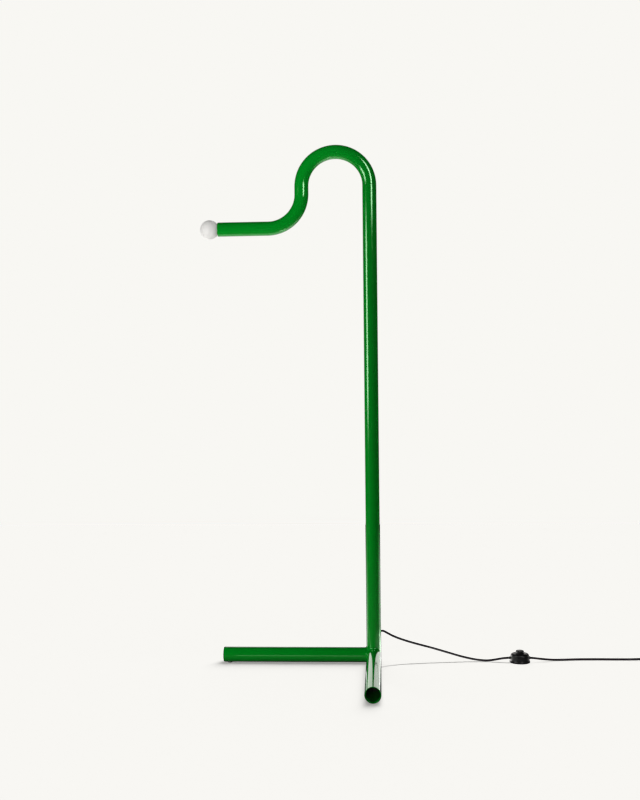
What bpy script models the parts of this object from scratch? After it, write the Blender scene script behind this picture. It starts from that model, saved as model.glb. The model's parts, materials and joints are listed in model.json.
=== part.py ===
"""A floor lamp bent from one size of lacquered steel tube: an L-shaped foot, a column and a hook-shaped
swivelling arm that holds an opal globe bulb in its open end, with a mains cord and a foot switch.

Metres, +Z up. The origin is on the floor, under the column's axis. The arm points along -X at rest, one leg
of the foot lies below it and the other runs along -Y, to the front.
"""

import math

import bpy
import bmesh
from mathutils import Vector

# Tube and overall shape
TUBE_RADIUS = 0.0225
TUBE_WALL = 0.0015
BEND_RADIUS = 0.108
COLUMN_HEIGHT = 1.485
LEG_REACH = 0.475
ARM_DROP = 0.024
ARM_STRAIGHT = 0.1606
GAP = 0.0003
SEAM_GAP = 0.0002

# Foot: pads under the tubes and ballast bars in the legs
PAD_THICKNESS = 0.002
PAD_HEIGHT = 0.0034
PAD_RADIUS = 0.0065
PAD_INSET = 0.018
BALLAST_LENGTH = 0.260
BALLAST_INSET = 0.110
BALLAST_CLEARANCE = 0.0005
MITRE_BLOCK = 0.3

LEG_AXIS_Z = TUBE_RADIUS + PAD_THICKNESS
BORE_RADIUS = TUBE_RADIUS - TUBE_WALL
SEAM_Z = LEG_AXIS_Z + COLUMN_HEIGHT
ARM_Z = SEAM_Z - ARM_DROP - BEND_RADIUS
ARM_END_X = -(3 * BEND_RADIUS + ARM_STRAIGHT)
LEAD_IN = 0.002

# Swivel, heights below the seam
BUSH_RADIUS = BORE_RADIUS - GAP
BUSH_BORE = 0.016
BUSH_LENGTH = 0.070
SLOT_INNER = 0.0171
SLOT_OUTER = 0.0200
SLOT_DEPTH = 0.0060
STOP_RIB_WIDTH = 0.005
SPINDLE_RADIUS = 0.0157
SPINDLE_BORE = 0.0125
SPINDLE_LENGTH = 0.085
SPIGOT_FLANGE = 0.005
STOP_PIN_RADIUS = 0.0013
CIRCLIP_GROOVE_TOP = BUSH_LENGTH + 0.0016
CIRCLIP_THICKNESS = 0.0015
CIRCLIP_RADIUS = 0.0192
WASHER_RADIUS = 0.0200
WASHER_THICKNESS = 0.0010

# Cord, its exit from the column, the clamp inside and its coil
CORD_RADIUS = 0.0025
CORD_SPACING = 0.012
EXIT_ANGLE = math.radians(35)
EXIT_HEIGHT = 0.096
GROMMET_NOSE = 0.0265
GROMMET_INNER = 0.0125
GROMMET_HOLE = 0.0053
CLAMP_RADIUS = 0.0070
CLAMP_LENGTH = 0.010
CLAMP_HEIGHT = EXIT_HEIGHT + 0.045
LEAD_SPLIT_Z = SEAM_Z - 0.040
COIL_CENTRE = Vector((0.888, 0.0126, 0.0))
COIL_LIFT = 0.001
COIL_PITCH = 0.0051
COIL_MEAN_RADIUS = 0.0275
COIL_TURNS_PER_LAYER = 2.25
COIL_LAYERS = 4
COIL_CORNER = 0.0020
TIE_THICKNESS = 0.0006
TIE_WIDTH = 0.009
COIL_HALF_SPAN = COIL_TURNS_PER_LAYER * COIL_PITCH / 2
COIL_OUTER_LINE = COIL_MEAN_RADIUS + COIL_HALF_SPAN
COIL_OUTSIDE = COIL_OUTER_LINE + COIL_PITCH / 2
COIL_INSIDE = COIL_MEAN_RADIUS - COIL_HALF_SPAN - COIL_PITCH / 2
COIL_HEIGHT = COIL_LAYERS * COIL_PITCH

# Foot switch
SWITCH_CENTRE = Vector((0.458, 0.014, 0.0))
SWITCH_BASE_RADIUS = 0.0315
SWITCH_BODY_HEIGHT = 0.0275
SWITCH_TOP = 0.036
SWITCH_BUTTON_RADIUS = 0.0122
SWITCH_SCREW_SPREAD = 0.0215
OUTLET_HEIGHT = 0.0130
OUTLET_RADIUS = 0.0047
OUTLET_REACH = 0.0330
INSIDE_SWITCH = 0.0180
SCREW_RADIUS = 0.0014
SCREW_HOLE = 0.0018
SCREW_HEAD = 0.0028
SCREW_HEAD_HOLE = 0.0032
BLOCK_LOW = 0.0033
BLOCK_HIGH = 0.0103
BLOCK_SIZE = (0.022, 0.018)
SPRING_LOW = 0.0110
SPRING_HIGH = 0.0219
SPRING_TURNS = 4
SPRING_RADIUS = 0.0045
SPRING_WIRE = 0.00045

# Bulb and lampholder, distances along the arm's axis measured outwards from the tube's end
GLOBE_RADIUS = 0.030
GLOBE_WALL = 0.0010
GLOBE_CENTRE = 0.0264
GLOBE_NECK_ANGLE = -58
HOLDER_FRONT = -0.015
HOLDER_REAR = -0.078
HOLDER_RADIUS = 0.0190
HOLDER_BORE = 0.0172
INSERT_TOP = -0.0483
INSERT_DEPTH = 0.0120
SLEEVE_TOP = -0.028
SLEEVE_BOTTOM = -0.052
GRUB_INSET = 0.040
GRUB_RADIUS = 0.0017
GRUB_LENGTH = 0.0018
CAP_SKIRT = 0.0143
THREAD_RADIUS = 0.0131

# Mains plug
PLUG_POINT = Vector((0.994, 0.0125, 0.0))
PLUG_ANGLE = math.radians(-32)
PLUG_RADIUS = 0.0185
PLUG_LENGTH = 0.034
PIN_SPACING = 0.019
PIN_RADIUS = 0.0024
PIN_LENGTH = 0.019
PIN_ROOT = 0.0076
RELIEF_FRONT = -0.0243
RELIEF_REAR = -0.0520

UP = Vector((0, 0, 1))
OUT_OF_ARM = Vector((-1, 0, 0))
EXIT_DIRECTION = Vector((math.cos(EXIT_ANGLE), math.sin(EXIT_ANGLE), 0))
ARM_MOUTH = Vector((ARM_END_X, 0, ARM_Z))

# Places that the free cord passes, from the column to the switch, on to the coil, and from there to the plug
FLOOR_CORD_ROUTE = [
    (0.0310, 0.0212, 0.0946),
    (0.0450, 0.0268, 0.0862),
    (0.0600, 0.0308, 0.0775),
    (0.0830, 0.0340, 0.0676),
    (0.1150, 0.0356, 0.0570),
    (0.1430, 0.0352, 0.0494),
    (0.1870, 0.0330, 0.0383),
    (0.2370, 0.0290, 0.0246),
    (0.2690, 0.0256, 0.0160),
    (0.2950, 0.0228, 0.0102),
    (0.3220, 0.0204, 0.0055),
    (0.3480, 0.0188, 0.0033),
    (0.3660, 0.0176, 0.0041),
    (0.3840, 0.0162, 0.0072),
    (0.4040, 0.0147, 0.0109),
]
TAIL_CORD_ROUTE = [
    (0.5070, 0.0160, 0.0112),
    (0.5300, 0.0206, 0.0077),
    (0.5600, 0.0278, 0.0040),
    (0.5900, 0.0338, 0.0027),
    (0.6400, 0.0400, 0.0027),
    (0.7000, 0.0424, 0.0027),
    (0.7600, 0.0420, 0.0027),
    (0.8100, 0.0432, 0.0027),
    (0.8450, 0.0452, 0.0032),
]
PLUG_CORD_ROUTE = [
    (0.9180, 0.0461, 0.0189),
    (0.9300, 0.0458, 0.0188),
    (0.9400, 0.0441, 0.0186),
]


# Scene, materials and shape helpers


def clear_scene():
    for obj in list(bpy.data.objects):
        bpy.data.objects.remove(obj, do_unlink=True)


def collection(name):
    made = bpy.data.collections.new(name)
    bpy.context.scene.collection.children.link(made)
    return made


def finish(name, colour, roughness, metallic=0.0):
    made = bpy.data.materials.new(name)
    made.use_nodes = True
    shader = made.node_tree.nodes["Principled BSDF"]
    shader.inputs["Base Color"].default_value = (*colour, 1.0)
    shader.inputs["Roughness"].default_value = roughness
    shader.inputs["Metallic"].default_value = metallic
    made.diffuse_color = (*colour, 1.0)
    return made


clear_scene()
LAMP = collection("adjustable_arm_floor_lamp")
CUTTERS = collection("cutters")

GREEN = finish("green_lacquer", (0.0, 0.19, 0.025), 0.25)
OPAL = finish("opal_glass", (0.78, 0.77, 0.74), 0.2)
BLACK = finish("black_plastic", (0.012, 0.012, 0.012), 0.4)
CORD_BLACK = finish("black_cord", (0.010, 0.010, 0.010), 0.5)
RUBBER = finish("pad_rubber", (0.20, 0.20, 0.195), 0.8)
STEEL = finish("bright_steel", (0.55, 0.55, 0.56), 0.3, 1.0)
BALLAST = finish("ballast_steel", (0.25, 0.24, 0.23), 0.6, 1.0)
BRASS = finish("brass", (0.70, 0.52, 0.24), 0.3, 1.0)
NICKEL = finish("nickel", (0.66, 0.64, 0.60), 0.25, 1.0)
BEARING = finish("bearing_plastic", (0.75, 0.74, 0.70), 0.5)


def place(obj, centre, direction=UP):
    """Puts an object's origin at centre, with its own +Z along direction."""
    obj.location = centre
    obj.rotation_euler = UP.rotation_difference(Vector(direction)).to_euler()
    return obj


def add(name, data, material, where=LAMP):
    obj = bpy.data.objects.new(name, data)
    data.materials.append(material)
    where.objects.link(obj)
    if where is CUTTERS:
        obj.hide_render = True
        obj.display_type = "WIRE"
    return obj


def smooth(mesh, angle=math.radians(35)):
    mesh.shade_smooth()
    mesh.set_sharp_from_angle(angle=angle)


def cylinder(name, radius, length, centre, direction, material, sides=24, where=LAMP):
    """A closed cylinder, centred on a point."""
    mesh = bpy.data.meshes.new(name)
    bm = bmesh.new()
    bmesh.ops.create_cone(
        bm, cap_ends=True, segments=sides, radius1=radius, radius2=radius, depth=length
    )
    bm.to_mesh(mesh)
    bm.free()
    smooth(mesh)
    return place(add(name, mesh, material, where), centre, direction)


def box(name, size, centre, material, where=LAMP, turn=0.0):
    mesh = bpy.data.meshes.new(name)
    bm = bmesh.new()
    bmesh.ops.create_cube(bm, size=1.0)
    bmesh.ops.scale(bm, vec=size, verts=bm.verts)
    bm.to_mesh(mesh)
    bm.free()
    obj = add(name, mesh, material, where)
    obj.location = centre
    obj.rotation_euler = (0, 0, turn)
    return obj


def turned(name, profile, centre, direction, material, sides=24, where=LAMP, ring=True):
    """A turned piece. profile is (radius, height) pairs, down the outside first; a ring's profile closes."""
    count = len(profile)
    edges = [(i, i + 1) for i in range(count - 1)]
    if ring:
        edges.append((count - 1, 0))
    mesh = bpy.data.meshes.new(name)
    mesh.from_pydata([(radius, 0, height) for radius, height in profile], edges, [])
    obj = place(add(name, mesh, material, where), centre, direction)
    screw = obj.modifiers.new("turn", "SCREW")
    screw.steps = sides
    screw.render_steps = sides
    screw.use_merge_vertices = True
    screw.merge_threshold = 0.00001
    screw.use_smooth_shade = True
    return obj


def ring_profile(outer, inner, top, bottom):
    return [(outer, top), (outer, bottom), (inner, bottom), (inner, top)]


def boolean(obj, other, operation):
    modifier = obj.modifiers.new(other.name, "BOOLEAN")
    modifier.operation = operation
    modifier.object = other
    modifier.solver = "EXACT"


def arc(centre, radius, start, end, steps):
    """Points on a circle in a (radius, height) profile, with both ends."""
    angles = (math.radians(start + (end - start) * i / steps) for i in range(steps + 1))
    return [
        (max(centre[0] + radius * math.cos(a), 0.0), centre[1] + radius * math.sin(a))
        for a in angles
    ]


def smooth_route(points, spacing):
    """Evenly spaced points on a Catmull-Rom curve through points."""
    points = [Vector(p) for p in points]
    ends = [2 * points[0] - points[1], *points, 2 * points[-1] - points[-2]]
    fine = []
    for a, b, c, d in zip(ends, ends[1:], ends[2:], ends[3:]):
        for step in range(24):
            t = step / 24
            fine.append(
                0.5 * (2 * b + (c - a) * t + (2 * a - 5 * b + 4 * c - d) * t**2
                       + (3 * b - a - 3 * c + d) * t**3)
            )
    fine.append(points[-1])
    total = sum((q - p).length for p, q in zip(fine, fine[1:]))
    count = max(2, round(total / spacing))
    even, walked, target = [fine[0]], 0.0, total / count
    for p, q in zip(fine, fine[1:]):
        step = (q - p).length
        while len(even) < count and walked + step >= target * len(even):
            even.append(p.lerp(q, (target * len(even) - walked) / step))
        walked += step
    return even + [fine[-1]]


def poly_curve(name, points, radius, resolution, material, where=LAMP, caps=True):
    curve = bpy.data.curves.new(name, "CURVE")
    curve.dimensions = "3D"
    curve.bevel_depth = radius
    curve.bevel_resolution = resolution
    curve.use_fill_caps = caps
    spline = curve.splines.new("POLY")
    spline.points.add(len(points) - 1)
    for point, where_to in zip(spline.points, points):
        point.co = (*where_to, 1.0)
    return add(name, curve, material, where)


def mesh_of(curve_object, material):
    """The curve object's evaluated mesh as a new object, in place of the curve."""
    name = curve_object.name
    graph = bpy.context.evaluated_depsgraph_get()
    mesh = bpy.data.meshes.new_from_object(curve_object.evaluated_get(graph))
    placed = curve_object.matrix_world.copy()
    bpy.data.objects.remove(curve_object, do_unlink=True)
    bm = bmesh.new()
    bm.from_mesh(mesh)
    bmesh.ops.remove_doubles(bm, verts=bm.verts, dist=0.00001)
    bmesh.ops.recalc_face_normals(bm, faces=bm.faces)
    bm.to_mesh(mesh)
    bm.free()
    mesh.materials.clear()
    smooth(mesh)
    obj = add(name, mesh, material)
    obj.matrix_world = placed
    return obj


# Foot: two mitred legs, their ballast and pads


def leg_cutter(name, direction, radius, side):
    """A solid leg outline, mitred a little past the corner's plane, for shaping what meets the leg."""
    outer_end = TUBE_RADIUS + 0.005
    length = LEG_REACH + outer_end
    centre = Vector(direction) * (LEG_REACH - outer_end) / 2 + Vector((0, 0, LEG_AXIS_Z))
    leg = cylinder(name, radius, length, centre, direction, GREEN, 48, CUTTERS)
    boolean(leg, mitre_cutter(name + "_mitre", side, -GAP), "DIFFERENCE")
    return leg


def mitre_cutter(name, side, clearance):
    """A block over the half of space beyond the corner's mitre plane, x = y, and clearance more."""
    normal = Vector((1, -1, 0)).normalized() * side
    centre = normal * (MITRE_BLOCK / 2 - clearance) + Vector((0, 0, LEG_AXIS_Z))
    return box(name, (MITRE_BLOCK, MITRE_BLOCK, MITRE_BLOCK), centre, GREEN, CUTTERS, math.radians(45))


def leg_tube(name, direction, side):
    outer_end = TUBE_RADIUS + 0.004
    length = LEG_REACH + outer_end
    corner = Vector((0, 0, LEG_AXIS_Z)) - Vector(direction) * outer_end
    leg = turned(
        name,
        ring_profile(TUBE_RADIUS, BORE_RADIUS, length, 0.0),
        corner, direction, GREEN, 48,
    )
    boolean(leg, mitre_cutter(name + "_mitre", side, GAP / 2), "DIFFERENCE")
    return leg


def ballast_bar(name, direction):
    """A solid steel bar, a clear fit in its leg, well back from the open end."""
    centre = Vector(direction) * (LEG_REACH - BALLAST_INSET - BALLAST_LENGTH / 2) + Vector((0, 0, LEG_AXIS_Z))
    return cylinder(name, BORE_RADIUS - BALLAST_CLEARANCE, BALLAST_LENGTH, centre, direction, BALLAST)


def foot_pad(name, centre, outlines):
    """A round pad, flat underneath, hollowed on top to fit the tubes that rest on it."""
    pad = cylinder(name, PAD_RADIUS, PAD_HEIGHT, centre + UP * PAD_HEIGHT / 2, UP, RUBBER)
    for outline in outlines:
        boolean(pad, outline, "DIFFERENCE")
    return pad


def foot():
    left, front = Vector((-1, 0, 0)), Vector((0, -1, 0))
    left_outline = leg_cutter("left_outline", left, TUBE_RADIUS + GAP, 1)
    front_outline = leg_cutter("front_outline", front, TUBE_RADIUS + GAP, -1)
    leg_tube("left_leg_tube", left, 1)
    leg_tube("front_leg_tube", front, -1)
    ballast_bar("left_ballast_bar", left)
    ballast_bar("front_ballast_bar", front)
    pad_reach = LEG_REACH - PAD_INSET
    foot_pad("corner_pad", Vector((0, 0, 0)), [left_outline, front_outline])
    foot_pad("left_pad", left * pad_reach, [left_outline])
    foot_pad("front_pad", front * pad_reach, [front_outline])
    return left_outline, front_outline


# Column, cable exit and the lead inside it


def column(outlines):
    """The upright: saddle-cut onto both legs, with the cord's hole low on its far side."""
    low = LEG_AXIS_Z - 0.001
    tube = turned(
        "column_tube",
        ring_profile(TUBE_RADIUS, BORE_RADIUS, SEAM_Z - SEAM_GAP, low),
        (0, 0, 0), UP, GREEN, 48,
    )
    for outline in outlines:
        boolean(tube, outline, "DIFFERENCE")
    hole = cylinder(
        "cord_hole", GROMMET_HOLE, 0.02,
        EXIT_DIRECTION * TUBE_RADIUS + UP * EXIT_HEIGHT, EXIT_DIRECTION, GREEN, 24, CUTTERS,
    )
    boolean(tube, hole, "DIFFERENCE")


def cable_grommet():
    """A tapered strain relief, snapped through the column's wall."""
    bore = CORD_RADIUS + GAP
    neck = GROMMET_HOLE - GAP
    flange_face = TUBE_RADIUS + GAP
    turned(
        "cable_grommet",
        [
            (CORD_RADIUS + 0.0008, GROMMET_NOSE),
            (0.0054, flange_face + 0.0016),
            (0.0062, flange_face + 0.0012),
            (0.0062, flange_face),
            (neck, flange_face),
            (neck, BORE_RADIUS - 0.0018),
            (0.0058, BORE_RADIUS - 0.0020),
            (0.0058, BORE_RADIUS - 0.0032),
            (0.0042, GROMMET_INNER),
            (bore, GROMMET_INNER),
            (bore, GROMMET_NOSE),
        ],
        UP * EXIT_HEIGHT, EXIT_DIRECTION, BLACK, 24,
    )


def leads():
    """The cord's run inside the tubes: one length in the column, one in the arm."""
    rise = [
        EXIT_DIRECTION * reach + UP * (EXIT_HEIGHT + lift)
        for reach, lift in (
            (GROMMET_NOSE - 0.001, 0),
            (0.0190, 0),
            (0.0120, 0),
            (0.0070, 0.0020),
            (0.0028, 0.0082),
            (0.0006, 0.0190),
            (0.0, 0.0360),
        )
    ]
    low = smooth_route(rise, 0.004)
    top = LEAD_SPLIT_Z - GAP / 2
    poly_curve("column_lead", [*low, Vector((0, 0, top))], CORD_RADIUS, 2, CORD_BLACK)
    path = [Vector((0, 0, LEAD_SPLIT_Z + GAP / 2)), Vector((0, 0, SEAM_Z)), *hook_line()[2:-1]]
    lead_end = ARM_MOUTH + OUT_OF_ARM * (INSERT_TOP - INSERT_DEPTH - 0.001)
    poly_curve("arm_lead", [*path, lead_end], CORD_RADIUS, 2, CORD_BLACK)
    clamp = ring_profile(CLAMP_RADIUS, CORD_RADIUS + GAP, CLAMP_LENGTH, 0.0)
    turned("cord_clamp", clamp, (0, 0, CLAMP_HEIGHT), UP, BLACK, 20)


# Swivel at the top of the column


def swivel_bush():
    """The sleeve in the column's top. A rib left in its ring slot stops the arm's pin."""
    bush = turned(
        "swivel_bush",
        [
            (BUSH_RADIUS, -GAP),
            (BUSH_RADIUS, -BUSH_LENGTH),
            (BUSH_BORE, -BUSH_LENGTH),
            (BUSH_BORE, -GAP),
            (SLOT_INNER, -GAP),
            (SLOT_INNER, -SLOT_DEPTH),
            (SLOT_OUTER, -SLOT_DEPTH),
            (SLOT_OUTER, -GAP),
        ],
        (0, 0, SEAM_Z), UP, BEARING, 32,
    )
    width = SLOT_OUTER - SLOT_INNER + 0.0006
    rib = box(
        "stop_rib", (width, STOP_RIB_WIDTH, SLOT_DEPTH - 0.0006),
        ((SLOT_INNER + SLOT_OUTER) / 2, 0, SEAM_Z - SLOT_DEPTH / 2 - 0.0006), BEARING, CUTTERS,
    )
    boolean(bush, rib, "UNION")


def swivel_spigot():
    """The spindle welded into the arm's end, with a groove for the circlip and a hole for the stop pin."""
    flange = BORE_RADIUS - 0.0009
    groove = SPINDLE_RADIUS - 0.0011
    groove_top = -CIRCLIP_GROOVE_TOP
    groove_bottom = groove_top - CIRCLIP_THICKNESS - 2 * GAP
    spigot = turned(
        "swivel_spigot",
        [
            (flange, SPIGOT_FLANGE),
            (flange, SEAM_GAP),
            (SPINDLE_RADIUS, SEAM_GAP),
            (SPINDLE_RADIUS, groove_top),
            (groove, groove_top),
            (groove, groove_bottom),
            (SPINDLE_RADIUS, groove_bottom),
            (SPINDLE_RADIUS, -SPINDLE_LENGTH + 0.001),
            (SPINDLE_RADIUS - 0.001, -SPINDLE_LENGTH),
            (SPINDLE_BORE, -SPINDLE_LENGTH),
            (SPINDLE_BORE, SPIGOT_FLANGE),
        ],
        (0, 0, SEAM_Z), UP, STEEL, 32,
    )
    pin_x = -(SLOT_INNER + SLOT_OUTER) / 2
    hole_length = 0.02
    hole = cylinder(
        "pin_hole", STOP_PIN_RADIUS + GAP, hole_length, (pin_x, 0, SEAM_Z), UP, STEEL, 16, CUTTERS
    )
    boolean(spigot, hole, "DIFFERENCE")
    pin_top, pin_bottom = SPIGOT_FLANGE - 0.0005, -(SLOT_DEPTH - 0.001)
    pin_centre = (pin_x, 0, SEAM_Z + (pin_top + pin_bottom) / 2)
    cylinder("stop_pin", STOP_PIN_RADIUS, pin_top - pin_bottom, pin_centre, UP, STEEL, 16)


def swivel_retainers():
    """A friction washer under the bush, held up by a circlip with an opening."""
    washer_top = -BUSH_LENGTH - GAP
    turned(
        "friction_washer",
        ring_profile(WASHER_RADIUS, SPINDLE_RADIUS + GAP, washer_top, washer_top - WASHER_THICKNESS),
        (0, 0, SEAM_Z), UP, BRASS, 24,
    )
    top = -CIRCLIP_GROOVE_TOP - GAP
    clip = turned(
        "swivel_circlip",
        ring_profile(CIRCLIP_RADIUS, SPINDLE_RADIUS - 0.0008, top, top - CIRCLIP_THICKNESS),
        (0, 0, SEAM_Z), UP, STEEL, 24,
    )
    opening = box(
        "circlip_opening", (0.008, 0.006, 0.01), (SPINDLE_RADIUS + 0.0018, 0, SEAM_Z + top), STEEL, CUTTERS
    )
    boolean(clip, opening, "DIFFERENCE")


# Arm: one bent tube


def hook_line():
    """The arm's centreline: up from the seam, over the arch, down, round to the level end."""
    line = [Vector((0, 0, SEAM_Z + SEAM_GAP)), Vector((0, 0, SEAM_Z + LEAD_IN))]
    arch_steps, bend_steps = 18, 9
    first = math.asin(LEAD_IN / BEND_RADIUS)
    for i in range(1, arch_steps + 1):
        angle = first + (math.pi - first) * i / arch_steps
        line.append(
            Vector((-BEND_RADIUS * (1 - math.cos(angle)), 0, SEAM_Z + BEND_RADIUS * math.sin(angle)))
        )
    for i in range(bend_steps + 1):
        angle = math.pi / 2 * i / bend_steps
        line.append(
            Vector((
                -BEND_RADIUS * (3 - math.cos(angle)), 0,
                SEAM_Z - ARM_DROP - BEND_RADIUS * math.sin(angle),
            ))
        )
    line.append(ARM_MOUTH.copy())
    return line


def hook_tube():
    shell = poly_curve("hook_tube", hook_line(), TUBE_RADIUS, 8, GREEN, LAMP, caps=False)
    tube = mesh_of(shell, GREEN)
    wall = tube.modifiers.new("wall", "SOLIDIFY")
    wall.thickness = TUBE_WALL
    wall.offset = -1.0
    wall.use_even_offset = True
    screw_hole = cylinder(
        "grub_hole", GRUB_RADIUS + GAP, 0.012,
        ARM_MOUTH + Vector((GRUB_INSET, TUBE_RADIUS, 0)), (0, 1, 0), GREEN, 16, CUTTERS,
    )
    boolean(tube, screw_hole, "DIFFERENCE")


# Lampholder and bulb, in the arm's open end


def lampholder():
    bottom = INSERT_TOP - 0.0140
    turned(
        "lampholder_shell",
        [
            (HOLDER_RADIUS - 0.0006, HOLDER_FRONT),
            (HOLDER_RADIUS, HOLDER_FRONT - 0.0008),
            (HOLDER_RADIUS, bottom),
            (HOLDER_BORE, bottom),
            (HOLDER_BORE, HOLDER_FRONT),
        ],
        ARM_MOUTH, OUT_OF_ARM, BLACK, 28,
    )
    turned(
        "lampholder_cap",
        [
            (HOLDER_RADIUS, bottom - GAP),
            (HOLDER_RADIUS, HOLDER_REAR + 0.008),
            (0.0120, HOLDER_REAR),
            (CORD_RADIUS + 0.0006, HOLDER_REAR),
            (CORD_RADIUS + 0.0006, HOLDER_REAR + 0.003),
            (HOLDER_BORE - 0.001, HOLDER_REAR + 0.010),
            (HOLDER_BORE - 0.001, bottom - GAP),
        ],
        ARM_MOUTH, OUT_OF_ARM, BLACK, 28,
    )
    turned(
        "holder_insert",
        [
            (HOLDER_BORE - GAP, INSERT_TOP),
            (HOLDER_BORE - GAP, INSERT_TOP - INSERT_DEPTH),
            (0.0035, INSERT_TOP - INSERT_DEPTH),
            (0.0035, INSERT_TOP),
        ],
        ARM_MOUTH, OUT_OF_ARM, BEARING, 24,
    )
    turned(
        "thread_shell",
        ring_profile(THREAD_RADIUS + 0.0012, THREAD_RADIUS + 0.0005, -0.0205, INSERT_TOP + GAP),
        ARM_MOUTH, OUT_OF_ARM, BRASS, 24,
    )
    turned(
        "centre_contact",
        [(0, -0.0471), (0.0028, -0.0475), (0.0028, -0.0560), (0, -0.0560)],
        ARM_MOUTH, OUT_OF_ARM, BRASS, 16, ring=False,
    )
    turned(
        "holder_sleeve",
        ring_profile(BORE_RADIUS - 0.0005, HOLDER_RADIUS + GAP, SLEEVE_TOP, SLEEVE_BOTTOM),
        ARM_MOUTH, OUT_OF_ARM, BEARING, 24,
    )
    centre = ARM_MOUTH + Vector((GRUB_INSET, TUBE_RADIUS - GRUB_LENGTH / 2, 0))
    cylinder("holder_grub_screw", GRUB_RADIUS, GRUB_LENGTH, centre, (0, 1, 0), STEEL, 16)


def bulb():
    """A 60 mm opal globe whose neck narrows into a screw cap."""
    outside = arc((0, GLOBE_CENTRE), GLOBE_RADIUS, 90, GLOBE_NECK_ANGLE, 14)
    inside = arc((0, GLOBE_CENTRE), GLOBE_RADIUS - GLOBE_WALL, 90, GLOBE_NECK_ANGLE, 10)
    neck = [(0.0143, -0.0030), (0.0135, -0.0080), (0.0132, -0.0170)]
    turned(
        "bulb_globe",
        outside + neck + [(r - GLOBE_WALL, h) for r, h in reversed(neck)] + list(reversed(inside)),
        ARM_MOUTH, OUT_OF_ARM, OPAL, 28, ring=False,
    )
    turned(
        "bulb_cap",
        [
            (CAP_SKIRT, -0.0125),
            (CAP_SKIRT, -0.0185),
            (THREAD_RADIUS, -0.0200),
            (THREAD_RADIUS, -0.0375),
            (0.0085, -0.0415),
            (0.0078, -0.0415),
            (0.0122, -0.0372),
            (0.0122, -0.0190),
            (0.0137, -0.0178),
            (0.0137, -0.0125),
        ],
        ARM_MOUTH, OUT_OF_ARM, NICKEL, 24,
    )
    turned(
        "cap_insulator",
        [(0.0, -0.0418), (0.0083, -0.0418), (0.0052, -0.0448), (0.0, -0.0448)],
        ARM_MOUTH, OUT_OF_ARM, BLACK, 24, ring=False,
    )
    turned(
        "cap_contact",
        [(0.0, -0.0451), (0.0040, -0.0451), (0.0034, -0.0462), (0.0, -0.0466)],
        ARM_MOUTH, OUT_OF_ARM, NICKEL, 20, ring=False,
    )


# Foot switch on the cord


def switch_cover():
    cover = turned(
        "switch_cover",
        [
            (0.0126, SWITCH_BODY_HEIGHT),
            (0.0215, 0.0272),
            (0.0258, 0.0252),
            (0.0281, 0.0212),
            (0.0292, 0.0090),
            (0.0308, 0.0033),
            (0.0282, 0.0033),
            (0.0266, 0.0090),
            (0.0252, 0.0205),
            (0.0225, 0.0250),
            (0.0126, 0.0250),
        ],
        SWITCH_CENTRE, UP, BLACK, 36,
    )
    for side in (-1, 1):
        foot = SWITCH_CENTRE + Vector((0, side * SWITCH_SCREW_SPREAD, 0))
        boss = cylinder("screw_boss", 0.0040, 0.0200, foot + UP * 0.0140, UP, BLACK, 16, CUTTERS)
        hole = cylinder("boss_hole", SCREW_HOLE, 0.0180, foot + UP * 0.0060, UP, BLACK, 16, CUTTERS)
        outlet = cylinder(
            "cord_outlet", OUTLET_RADIUS, 0.0100,
            SWITCH_CENTRE + Vector((side * 0.028, 0, OUTLET_HEIGHT)), (1, 0, 0), BLACK, 20, CUTTERS,
        )
        boolean(cover, boss, "UNION")
        boolean(cover, hole, "DIFFERENCE")
        boolean(cover, outlet, "DIFFERENCE")


def switch_base():
    base = turned(
        "switch_base",
        [
            (0.0, 0.0030),
            (0.0303, 0.0030),
            (SWITCH_BASE_RADIUS, 0.0022),
            (SWITCH_BASE_RADIUS, 0.0005),
            (SWITCH_BASE_RADIUS - 0.0005, 0.0),
            (0.0, 0.0),
        ],
        SWITCH_CENTRE, UP, BLACK, 36, ring=False,
    )
    for index, side in enumerate((-1, 1), start=1):
        foot = SWITCH_CENTRE + Vector((0, side * SWITCH_SCREW_SPREAD, 0))
        bore = turned(
            f"base_hole_{index}",
            [
                (0, 0.01),
                (SCREW_HOLE, 0.01),
                (SCREW_HOLE, 0.0018),
                (SCREW_HEAD_HOLE, 0.0018),
                (SCREW_HEAD_HOLE, -0.01),
                (0, -0.01),
            ],
            foot, UP, BLACK, 16, CUTTERS, ring=False,
        )
        boolean(base, bore, "DIFFERENCE")
        turned(
            f"switch_screw_{index}",
            [
                (0, 0.0100),
                (SCREW_RADIUS, 0.0095),
                (SCREW_RADIUS, 0.0015),
                (SCREW_HEAD, 0.0015),
                (SCREW_HEAD, 0.0005),
                (0, 0.0005),
            ],
            foot, UP, STEEL, 16, ring=False,
        )


def switch_inside():
    """The contact block, the spring on it and the button that the spring holds up."""
    box(
        "switch_block", (*BLOCK_SIZE, BLOCK_HIGH - BLOCK_LOW),
        SWITCH_CENTRE + UP * (BLOCK_LOW + BLOCK_HIGH) / 2, BEARING,
    )
    steps_per_turn = 10
    steps = steps_per_turn * SPRING_TURNS
    helix = []
    for i in range(steps + 1):
        angle = 2 * math.pi * i / steps_per_turn
        height = SPRING_LOW + (SPRING_HIGH - SPRING_LOW) * i / steps
        helix.append(
            SWITCH_CENTRE + Vector((SPRING_RADIUS * math.cos(angle), SPRING_RADIUS * math.sin(angle), height))
        )
    poly_curve("switch_spring", helix, SPRING_WIRE, 0, STEEL)
    turned(
        "switch_button",
        [
            (0.0, SWITCH_TOP),
            (0.0095, SWITCH_TOP - 0.0002),
            (0.0115, SWITCH_TOP - 0.0010),
            (SWITCH_BUTTON_RADIUS, SWITCH_TOP - 0.0024),
            (SWITCH_BUTTON_RADIUS, 0.0247),
            (0.0145, 0.0247),
            (0.0145, 0.0227),
            (0.0, 0.0227),
        ],
        SWITCH_CENTRE, UP, BLACK, 28, ring=False,
    )


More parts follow.
